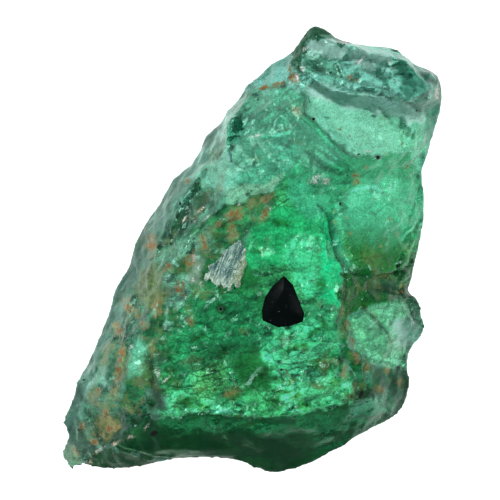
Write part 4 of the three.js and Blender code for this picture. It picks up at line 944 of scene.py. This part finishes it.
# %% Chips in the skin
def chips(places, size, tilt, dish, seed):
    """The depth that small shallow breaks give each point: each a tilted dish about this wide."""
    dice = np.random.default_rng(seed)
    low, high = places.min(axis=0), places.max(axis=0)
    steps = [np.arange(a, b + size, size) for a, b in zip(low, high)]
    centres = np.stack(np.meshgrid(*steps, indexing="ij"), axis=-1).reshape(-1, 3)
    centres = centres + dice.uniform(-0.5, 0.5, centres.shape) * size
    tree = kdtree.KDTree(len(centres))
    for number, centre in enumerate(centres):
        tree.insert(centre, number)
    tree.balance()
    owner = np.array([tree.find(place)[1] for place in places])
    slopes = dice.normal(size=centres.shape)
    slopes *= tilt / np.linalg.norm(slopes, axis=1)[:, None]
    offset = places - centres[owner]
    bowl = dish * ((offset / size) ** 2).sum(axis=1) * size
    depths = bowl - dish * size * 0.3 + (offset * slopes[owner]).sum(axis=1)
    return depths, dice.uniform(-1, 1, len(centres))[owner]


broad_chips, broad_shade = chips(places, size=1.9, tilt=0.11, dish=0.1, seed=11)
small_chips, small_shade = chips(places, size=0.85, tilt=0.16, dish=0.22, seed=12)
for name, depths in (("broad", broad_chips), ("small", small_chips)):
    print(name, "chips:", round(float(np.ptp(depths)), 2), "mm from the highest to the lowest")

# %% [markdown]
# The crystal grew in layers, and at the crowned tip their ends show as fine steps that follow its foot.

# %% Layers of the crown
LAYER_STEP = 0.55
LAYER_DEPTH = 0.05
CROWN_FOOT = [(2.6, 14.4), (3.7, 12.8), (5.2, 11.6), (6.9, 10.9), (8.8, 10.6), (12.4, 9.4)]
spots = places[:, :2]
crown_foot = distance_to(spots, CROWN_FOOT)
layer_way = crown_foot + 0.3 * places[:, 2] + 0.2 * waver(places, 2.4, 21)
layers = (layer_way / LAYER_STEP) % 1
layer_depth = LAYER_DEPTH * layers * masks["crown"] * (1 - masks["crown window"])
print("steps of", LAYER_STEP, "mm")

# %% Cut the cracks, with painted shade and highlights
cut = np.zeros(len(places))
# Cracks are painted darker and slivers painted brighter in the tint.
crack_shade_and_highlight = np.ones(len(places))
lines_ragged = 0.04 * waver(places, 0.6, 31)
for line, width, shade, depth in SHADED_CRACKS + SLIVER_HIGHLIGHTS:
    distance = distance_to(spots, line) + lines_ragged
    cover = 1 - smooth_step(0.4 * width, 1.6 * width + 0.06, distance)
    cover *= smooth_step(-0.2, 0.4, normals[:, 2])
    crack_shade_and_highlight *= 1 + (shade - 1) * cover
    cut += np.where(shade < 1, -depth, depth) * cover
print("deepest crack:", round(float(-cut.min()), 2), "mm")

# %% [markdown]
# All of this is added up and pushed along the surface's own direction. The flat base is left alone, so the
# stone still lies on it. Steep walls and the smooth faces get less of the chips.

# %% Relief
steep = 1 - smooth_step(0.1, 0.6, normals[:, 2])
calm = 1 - 0.6 * masks["bottom band"]
chipped = 1 - in_faces(SMOOTH_SKINNED)
chip_relief = chipped * (1 - 0.55 * steep) * (0.5 * (0.4 + 0.6 * grain) * broad_chips + grain * small_chips)
swell = (1 - 0.6 * steep) * calm * (0.06 * waver(places, 1.4, 41) + 0.03 * waver(places, 0.6, 42))
relief = above_base * (chip_relief + layer_depth + cut + swell)
place_points(stone, places + normals * relief[:, None])
print("relief from", round(float(relief.min()), 2), "to", round(float(relief.max()), 2), "mm")

# %% [markdown]
# The pits are pressed in with Displace modifiers. Voronoi cells make shallow dishes with sharp ridges
# between them, which is what small chips in glassy crystal look like. Broader dishes roughen the underside.


# %% Pits by modifier
def weigh(piece, name, weights):
    """A vertex group with a weight for each point."""
    group = piece.vertex_groups.new(name=name)
    steps = np.round(np.clip(weights, 0, 1) * 20).astype(int)
    for step in range(1, 21):
        group.add(np.flatnonzero(steps == step).tolist(), step / 20, "REPLACE")
    return name


def relief_texture(name, kind, size, **settings):
    """A texture for a Displace modifier, with features about this many metres wide."""
    texture = bpy.data.textures.new(name, kind)
    texture.noise_scale = size
    for key, value in settings.items():
        setattr(texture, key, value)
    return texture


pitted = above_base * smooth_step(0.3, 1.0, grain) * smooth_step(0.1, 0.6, normals[:, 2])
for name, weights, size, strength, middle in (
    ("pits", pitted, 0.8 * MM, 0.34 * MM, 0.45),
    ("base dishes", 1 - above_base, 1.5 * MM, -0.5 * MM, 0.0),
):
    apply_modifier(
        stone, "DISPLACE", vertex_group=weigh(stone, name, weights), strength=strength, mid_level=middle,
        texture=relief_texture(name, "VORONOI", size, distance_metric="DISTANCE_SQUARED"),
    )
    print(name, "where the weight is over a half:", int((weights > 0.5).sum()), "points")

# %% Keep the stone inside its measured box
low, high = np.array(cad_box[0]) / MM, np.array(cad_box[1]) / MM
places = np.clip(points_of(stone), low, high)
place_points(stone, places)
choose(stone)
bpy.ops.object.shade_smooth_by_angle(angle=math.radians(32))
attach(stone, "root")
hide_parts("emerald")
print("stone:", len(stone.data.polygons), "faces,", len(stone.data.vertices), "points")

# %% [markdown]
# The colour of each point is kept in the mesh as attributes. "tint" is the light that the skin lets
# through, and the others say how much rust, crushed white with painted glints, black grain, and whitish haze
# with painted glow lie there. The shader reads them by name, so the pattern stays on the stone from every
# side. The faces' tints are painted on the front. The walls and the underside have a tint of their own, and
# thin edges are painted paler, as where light shines through them. The tint is squared at the end, because
# light goes through the skin twice, once in and once out.


# %% Paint the stone
def keep_values(piece, name, values):
    """Stores a value for each point under this name."""
    layer = piece.data.attributes.new(name, "FLOAT", "POINT")
    layer.data.foreach_set("value", np.ascontiguousarray(values, np.float32))


def keep_colours(piece, name, colours):
    """Stores a colour for each point, as three values."""
    for channel, values in zip(("red", "green", "blue"), colours.T):
        keep_values(piece, name + "_" + channel, values)


normals = normals_of(stone)
spots = places[:, :2]
front = smooth_step(-0.35, 0.1, normals[:, 2])[:, None]
tint = painted(masks, "tint", BODY_TINT)
shade = 1 + grain * (0.22 * small_shade + 0.12 * broad_shade)
# Painted shade in the dark lenses.
lens = spots_mask(spots, SHADED_LENSES, 0.35 * waver(places, 0.45, 57), 1.45)
tint = tint * (shade * crack_shade_and_highlight)[:, None] * (1 - lens[:, None] * np.array(LENS_SHADE_TAKES))
# Painted light: thin steep edges are painted toward a pale tint, as where light shines through them.
thin = in_faces(THIN_EDGE_GLOW) * (1 - smooth_step(0.05, 0.5, normals[:, 2])) * (1 - masks["crown peak"])
tint = tint * (1 - thin)[:, None] + np.array(RIM_GLOW_TINT) * thin[:, None]
tint = np.clip(tint, DARKEST_TINT, 1.0) ** 2
under = smooth_step(0.55, 0.85, -normals[:, 2])[:, None]
wall_shade = 1 + 0.18 * waver(places, 3.0, 55) + 0.16 * small_shade + 0.1 * broad_shade
wall = np.clip(np.array(WALL_TINT) * wall_shade[:, None], 0, 1)
behind = np.array(UNDERSIDE_TINT) * under + wall * (1 - under)
tint = tint * front + behind * (1 - front)
keep_colours(stone, "tint", tint)
upward = smooth_step(-0.1, 0.3, normals[:, 2])
front = front[:, 0]
under = under[:, 0]
# Painted glow: pale haze on the thin edges.
pale_edge_glow = in_faces(THIN_EDGE_GLOW) * (1 - smooth_step(0.0, 0.4, normals[:, 2])) * front
frost_behind = UNDERSIDE_FROST * under + WALL_FROST * (1 - under)
halo = np.maximum(
    spots_mask(spots, RUST, 0.3 * waver(places, 0.9, 54), 1.8),
    spots_mask(spots, FILM, 0.4 * waver(places, 0.4, 56), 1.4),
)
for name, values in {
    "rust": upward * spots_mask(spots, RUST, 0.5 * waver(places, 0.45, 51), 1.1),
    "crushed_and_glints": upward * spots_mask(spots, CRUSHED_AND_GLINT_SPOTS, 0.35 * waver(places, 0.35, 52)),
    "black_grain": upward * spots_mask(spots, BLACK_GRAINS, 0.15 * waver(places, 0.4, 53)),
    "haze_and_glow": painted(masks, "haze_and_glow", 0.1)[:, 0] + 0.35 * pale_edge_glow * (1 - masks["crown peak"]),
    "grain": grain,
    "frost": painted(masks, "frost", 0.4)[:, 0] * front + frost_behind * (1 - front),
    "hollow_shade": in_faces(HOLLOW_SHADE) * front,
    "stain": in_faces(STAINED) * front + WALL_STAIN * (1 - front),
    "halo": halo,
    "layer": layer_way,
    "layered": in_faces(LAYERED) * (0.25 + 0.75 * (1 - smooth_step(0.6, 2.6, crown_foot))),
}.items():
    keep_values(stone, name, values)
print("tint from", tint.min(axis=0).round(3), "to", tint.max(axis=0).round(3))

# %% [markdown]
# The remesh leaves a crumb or two of a single voxel by the thinnest tip. All that isn't joined to the highest
# point of the stone is taken off. This comes after the paint, whose values follow the order of the points.

# %% Take off loose crumbs
points_before = len(stone.data.vertices)
choose(stone)
bpy.ops.object.mode_set(mode="EDIT")
bpy.ops.mesh.select_mode(type="VERT")
bpy.ops.mesh.select_all(action="DESELECT")
bpy.ops.object.mode_set(mode="OBJECT")
stone.data.vertices[int(places[:, 2].argmax())].select = True
bpy.ops.object.mode_set(mode="EDIT")
bpy.ops.mesh.select_linked()
bpy.ops.mesh.select_all(action="INVERT")
bpy.ops.mesh.delete(type="VERT")
bpy.ops.object.mode_set(mode="OBJECT")
print("loose points taken off:", points_before - len(stone.data.vertices))

# %% [markdown]
# The skin of the emerald is a mosaic of small breaks, and each of them is a little lighter or darker than
# the next. It is built from cells of three sizes, with clouds, stripes on the crown, hairlines and pits over
# them. The pits are painted shade, darker towards their middles, and each flake is painted lighter on one
# side and darker on the other, as if lit from one way. A face with a strong grain shows more of it.

# %% Emerald: the mosaic of its skin
STRIPE_STEP = 0.27
FLAKE = 0.75 * MM
FACET = 0.34 * MM
FINE_FACET = 0.17 * MM
emerald = Finish("emerald crystal")
place = emerald.place()
grain_here = emerald.stored("grain")
warped = emerald.warp(place, 0.7 * MM, 0.14 * MM)
flat_place = emerald.stretch(warped, (0.5, 1.1, 0.8), -14)
flakes = emerald.cells(flat_place, FLAKE)
facets = emerald.cells(flat_place, FACET)
fine_facets = emerald.cells(warped, FINE_FACET)
flake_value = flakes.share("Color")
facet_value = facets.share("Color")
pits = emerald.cells(emerald.stretch(place, (0.6, 1.15, 1.0), -12), 0.95 * MM)
cloud = emerald.grains(place, 1.6 * MM, 5, 0.6, 0.4)
speckle = emerald.grains(place, 0.1 * MM, 3, 0.7)
sweep = emerald.grains(place, 3.2 * MM, 3, 0.5, 0.3)
breaks = emerald.cells(flat_place, FLAKE, "DISTANCE_TO_EDGE")["Distance"]
# Painted shade: each flake is lighter on one side and darker on the other, as if lit from one way.
flake_side_shade = emerald.dot(emerald.offset(flat_place, flakes["Position"]), (0.35 / MM, 0.6 / MM, 0.2 / MM))
mosaic = 1 + grain_here * (
    emerald.ramp(cloud, 0.42, 0.58, -0.25, 0.25)
    + emerald.ramp(flake_value, 0.4, 0.6, -0.22, 0.28)
    + emerald.ramp(facet_value, 0.2, 0.8, -0.25, 0.25)
    + flake_side_shade
)
mosaic = mosaic * (1 + (0.25 + grain_here) * emerald.ramp(fine_facets.share("Color"), 0.2, 0.8, -0.2, 0.2))
mosaic = mosaic * emerald.ramp(speckle, 0.35, 0.65, 0.72, 1.26)
hairlines = emerald.cells(emerald.warp(place, 1.2 * MM, 0.9 * MM), 1.7 * MM, "DISTANCE_TO_EDGE")["Distance"]
hair_here = emerald.ramp(hairlines, 0.035, 0.015) * emerald.ramp(cloud, 0.46, 0.56)
mosaic = mosaic * (1 - 0.35 * hair_here)
stripes = emerald.stored("layer") * (2 * math.pi / STRIPE_STEP)
stripe_here = emerald.ramp(stripes.sum("SINE", stripes, 0.0), 0.2, 0.8) * emerald.ramp(facet_value, 0.2, 0.7)
mosaic = mosaic * (1 - 0.34 * stripe_here * emerald.stored("layered"))
mosaic = mosaic * (1 + (0.3 + grain_here) * emerald.ramp(sweep, 0.3, 0.7, -0.2, 0.2))
break_here = emerald.ramp(breaks, 0.1, 0.02) * emerald.ramp(flake_value, 0.42, 0.6)
mosaic = mosaic * (1 - 0.6 * grain_here * break_here)
# Painted shade: half of the pits are darker towards their middles.
pit_shade = emerald.ramp(pits["Distance"], 0.2, 0.3, 0.65, 0.0) * emerald.ramp(pits.share("Color"), 0.4, 0.5)
mosaic = mosaic * (1 - grain_here * pit_shade)
mosaic = mosaic * mosaic
height = flakes["Distance"] * 0.8 + facets["Distance"] * 0.6
height = height + fine_facets["Distance"] * 0.3 + speckle * 0.2
print("mosaic:", len(emerald.tree.nodes), "nodes so far")

# %% [markdown]
# The stored tint gives each face its depth. The mosaic and a slow drift between warm and cold green are
# multiplied into it, and then olive stains and rust are laid over it.

# %% Emerald: its tint, stains and rust
drift = emerald.blend(emerald.grains(place, 2.2 * MM, 3), (1.08, 0.97, 0.78, 1), (0.86, 1.0, 1.07, 1))
mosaic_grey = emerald.colour(mosaic, mosaic, mosaic)
skin_tint = emerald.blend(1.0, emerald.stored_colour("tint"), mosaic_grey, "MULTIPLY")
skin_tint = emerald.blend(1.0, skin_tint, drift, "MULTIPLY")
stains = emerald.grains(place, 1.2 * MM, 6, 0.62, 0.3)
stained = emerald.stored("stain")
stain_here = (stained | emerald.stored("halo")) * emerald.ramp(stains, 0.48, 0.68)
stain_colour = emerald.blend(emerald.ramp(cloud, 0.42, 0.6), (0.05, 0.11, 0.01, 1), (0.2, 0.1, 0.014, 1))
skin_tint = emerald.blend(stain_here * 0.8, skin_tint, stain_colour)
rust_breakup = emerald.grains(emerald.stretch(place, (1.5, 0.6, 0.8), -15), 0.34 * MM, 5, 0.62)
rust_spot = emerald.stored("rust")
rust = emerald.ramp(rust_spot + (rust_breakup - 0.5) * 4.5, 0.5, 1.15) * emerald.ramp(rust_spot, 0.05, 0.25)
skin_tint = emerald.blend(rust_spot * 0.5, skin_tint, (0.2, 0.12, 0.015, 1))
rust_tint = emerald.blend(emerald.ramp(facet_value, 0.2, 0.8), (0.08, 0.04, 0.01, 1), (0.42, 0.14, 0.02, 1))
skin_tint = emerald.blend(rust, skin_tint, rust_tint)
print("with the tint:", len(emerald.tree.nodes), "nodes so far")

# %% [markdown]
# Some things lie on the skin and hide the glass: rust, crushed crystal with painted glints, specks, black
# grains, a whitish haze with painted glow, and a dark green cover of painted shade in the hollows. The cover
# says how much of the glass they hide, and each has its own colour.

# %% Emerald: what covers its skin
speck_noise = emerald.grains(place, 0.13 * MM, 3, 0.6)
white_specks = (0.06 + stained) * emerald.ramp(speck_noise, 0.66, 0.71)
dark_specks = (0.1 + stained) * emerald.ramp(speck_noise, 0.34, 0.29)
# Crushed white, with painted glints.
crushed_and_glints = (emerald.stored("crushed_and_glints") * emerald.ramp(speck_noise, 0.42, 0.54)) | white_specks
black_grain = emerald.ramp(emerald.stored("black_grain"), 0.25, 0.7) | (dark_specks * 0.7)
# Whitish haze, with painted glow on windows and thin edges.
haze_and_glow = emerald.stored("haze_and_glow") * emerald.ramp(cloud, 0.25, 0.75, 0.5, 1.5)
# Painted shade: a dark green cover in the hollows.
hollow_shade = emerald.stored("hollow_shade") * emerald.ramp(cloud, 0.3, 0.7, 0.75, 1.1)
cover = (rust * 0.6) | crushed_and_glints | black_grain | haze_and_glow | hollow_shade
crust_breakup = emerald.ramp(rust_breakup, 0.35, 0.7)
rust_colour = emerald.blend(crust_breakup, (0.1, 0.04, 0.012, 1), (0.38, 0.14, 0.028, 1))
cover_colour = emerald.blend(emerald.ramp(hollow_shade, 0.1, 0.3), (0.43, 0.74, 0.65, 1), (0.012, 0.09, 0.035, 1))
cover_colour = emerald.blend(rust, cover_colour, rust_colour)
crushed_and_glint_colour = emerald.blend(emerald.ramp(stains, 0.45, 0.6), (0.85, 0.9, 0.88, 1), (0.8, 0.68, 0.5, 1))
cover_colour = emerald.blend(crushed_and_glints, cover_colour, crushed_and_glint_colour)
cover_colour = emerald.blend(black_grain, cover_colour, (0.01, 0.012, 0.012, 1))
print("with the cover:", len(emerald.tree.nodes), "nodes so far")

# %% [markdown]
# Emerald is clear, so its shader is plain glass of emerald's own bending power, 1.58, with a green volume
# that swallows red light first. Where the cover lies, a second, dull surface is mixed in.

# %% Emerald: glass, crust and body
EMERALD_BENDING = 1.58
BODY_COLOUR = (0.05, 0.76, 0.66, 1)
BODY_DENSITY = 84.0
emerald.fill(emerald.surface, {
    "Base Color": skin_tint,
    "Roughness": emerald.stored("frost") * emerald.ramp(cloud, 0.3, 0.7, 0.7, 1.3),
    "IOR": EMERALD_BENDING,
    "Specular Tint": (0.35, 0.8, 0.62, 1),
    "Transmission Weight": 1.0,
    "Normal": emerald.bump(height * (0.25 + grain_here), 0.3, 0.12 * MM),
})
crust = emerald.node("BsdfPrincipled", None, {
    "Base Color": cover_colour,
    "Roughness": emerald.ramp(rust_breakup, 0.3, 0.7, 0.3, 0.6),
    "Specular IOR Level": 0.12,
    "Normal": emerald.bump(rust_breakup, 0.5, 0.08 * MM),
})["BSDF"]
glass = Shade(emerald, emerald.surface.outputs[0])
skin = emerald.node("MixShader", None, {0: cover, 1: glass, 2: crust})["Shader"]
body = {"Color": BODY_COLOUR, "Density": BODY_DENSITY}
depth = emerald.node("VolumeAbsorption", None, body)["Volume"]
emerald.fill(emerald.output, {"Surface": skin, "Volume": depth})
emerald.put_on(stone)
print("emerald:", len(emerald.tree.nodes), "nodes")

# %% [markdown]
# The black crystal sits in a pocket that its own growth left, so nothing shows between the two. The packed
# solid is a little smaller than its pocket, so the visible piece is grown to fill it. Its edges are
# rounded with a bevel, because even a sharp crystal edge is a little worn.

# %% Black crystal
POCKET_FILL = 1.085
WORN_EDGE = 0.06 * MM
BEVEL_OVER = math.radians(20)
crystal = copy_of_node("black_crystal", "black_crystal_piece")
grow(crystal, (POCKET_FILL,) * 3)
apply_modifier(crystal, "BEVEL", width=WORN_EDGE, segments=2, limit_method="ANGLE", angle_limit=BEVEL_OVER)
choose(crystal)
bpy.ops.object.shade_smooth_by_angle(angle=math.radians(25))
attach(crystal, "root")
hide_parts("black_crystal")
print("black crystal:", len(crystal.data.polygons), "faces")

# %% Black crystal's looks
black = Finish("black crystal")
place = black.place()
scuffs = black.grains(place, 0.5 * MM, 6, 0.7)
glint = black.grains(place, 0.09 * MM, 2, 0.5)
black_colour = black.blend(black.ramp(scuffs, 0.55, 0.75), (0.003, 0.006, 0.006, 1), (0.008, 0.014, 0.016, 1))
black_colour = black.blend(black.ramp(glint, 0.74, 0.78), black_colour, (0.5, 0.55, 0.55, 1))
black.fill(black.surface, {
    "Base Color": black_colour,
    "Roughness": black.ramp(scuffs, 0.3, 0.75, 0.3, 0.45),
    "Specular IOR Level": 0.035,
    "Normal": black.bump(scuffs, 0.15, 0.08 * MM),
})
black.put_on(crystal)
print("black crystal:", len(black.tree.nodes), "nodes")

# %% [markdown]
# Mica grows in books of thin leaves that tear rather than break. The flake starts from the imported solid,
# grown to fill its pocket and remeshed finely. Its top is then cut into steps, as where leaves have come
# off one after another, with torn ends that run along the flake. Its colour runs in streaks along the torn
# leaves, with pearly dust between them, and the whitest streaks are partly painted highlights where the
# torn leaves catch the light.

# %% Mica flake
MICA_WAY = math.radians(66)
MICA_FILL = (1.25, 1.02, 1.3)
MICA_SHIFT = (-0.2 * MM, 0.25 * MM, 0)
MICA_VOXEL = 0.045 * MM
LEAF_WIDTH = 0.16
LEAF_STEP = 0.1
mica = copy_of_node("mica_flake", "mica_flake_piece")
grow(mica, MICA_FILL, MICA_SHIFT)
apply_modifier(mica, "REMESH", mode="VOXEL", voxel_size=MICA_VOXEL)
apply_modifier(mica, "SMOOTH", factor=0.5, iterations=1)
places = points_of(mica)
normals = normals_of(mica)
along = places[:, 0] * math.cos(MICA_WAY) + places[:, 1] * math.sin(MICA_WAY)
across = places[:, 1] * math.cos(MICA_WAY) - places[:, 0] * math.sin(MICA_WAY)
stretched = np.stack([along * 0.3, across, places[:, 2] * 0.3], axis=1)
leaf = across / LEAF_WIDTH + 1.6 * waver(stretched, 0.9, 61) + 0.5 * waver(stretched, 0.3, 62)
torn = LEAF_STEP * (leaf % 1) + 0.05 * waver(stretched, 0.22, 63)
face_up = smooth_step(0.2, 0.7, normals[:, 2])
ragged = (1 - face_up) * (0.16 * waver(stretched, 0.3, 64) + 0.1 * waver(places, 0.35, 65))
places = places + normals * (torn * face_up - 0.05 + ragged)[:, None]
place_points(mica, places)
choose(mica)
bpy.ops.object.shade_smooth_by_angle(angle=math.radians(30))
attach(mica, "root")
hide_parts("mica_flake")
print("mica:", len(mica.data.polygons), "faces")

# %% Mica's looks
pearl = Finish("mica leaves")
keep_values(mica, "leaf", leaf % 1)
keep_values(mica, "edge", across.mean() - across)
keep_values(mica, "low", along.mean() - along)
place = pearl.place()
leaf_here = pearl.stored("leaf")
dust = pearl.grains(place, 0.3 * MM, 6, 0.7, 0.4)
streak_place = pearl.stretch(place, (0.3, 1.4, 1.0), -math.degrees(MICA_WAY))
streaks = pearl.grains(streak_place, 0.16 * MM, 4, 0.65, 0.3)
patches = pearl.grains(place, 0.9 * MM, 3, 0.6)
pearl_colour = pearl.blend(pearl.ramp(patches, 0.4, 0.6), (0.12, 0.31, 0.28, 1), (0.32, 0.56, 0.48, 1))
pearl_colour = pearl.blend(pearl.ramp(pearl.stored("edge"), 0.3, 0.9), pearl_colour, (0.56, 0.72, 0.46, 1))
pearl_colour = pearl.blend(pearl.ramp(pearl.stored("low"), 0.4, 1.3), pearl_colour, (0.6, 0.84, 0.68, 1))
pearl_colour = pearl.blend(pearl.ramp(streaks, 0.42, 0.3), pearl_colour, (0.12, 0.2, 0.17, 1))
# White streaks along the torn leaves: partly the mica's own silver, partly painted highlight.
pearl_colour = pearl.blend(pearl.ramp(streaks, 0.54, 0.6), pearl_colour, (0.82, 1.0, 0.9, 1))
pearl_colour = pearl.blend(pearl.ramp(dust, 0.58, 0.66), pearl_colour, (0.84, 0.96, 0.86, 1))
pearl.fill(pearl.surface, {
    "Base Color": pearl_colour,
    "Roughness": pearl.ramp(dust, 0.3, 0.7, 0.2, 0.35),
    "Normal": pearl.bump(dust + leaf_here * 0.5 + streaks, 0.9, 0.1 * MM),
})
pearl.put_on(mica)
print("mica:", len(pearl.tree.nodes), "nodes")
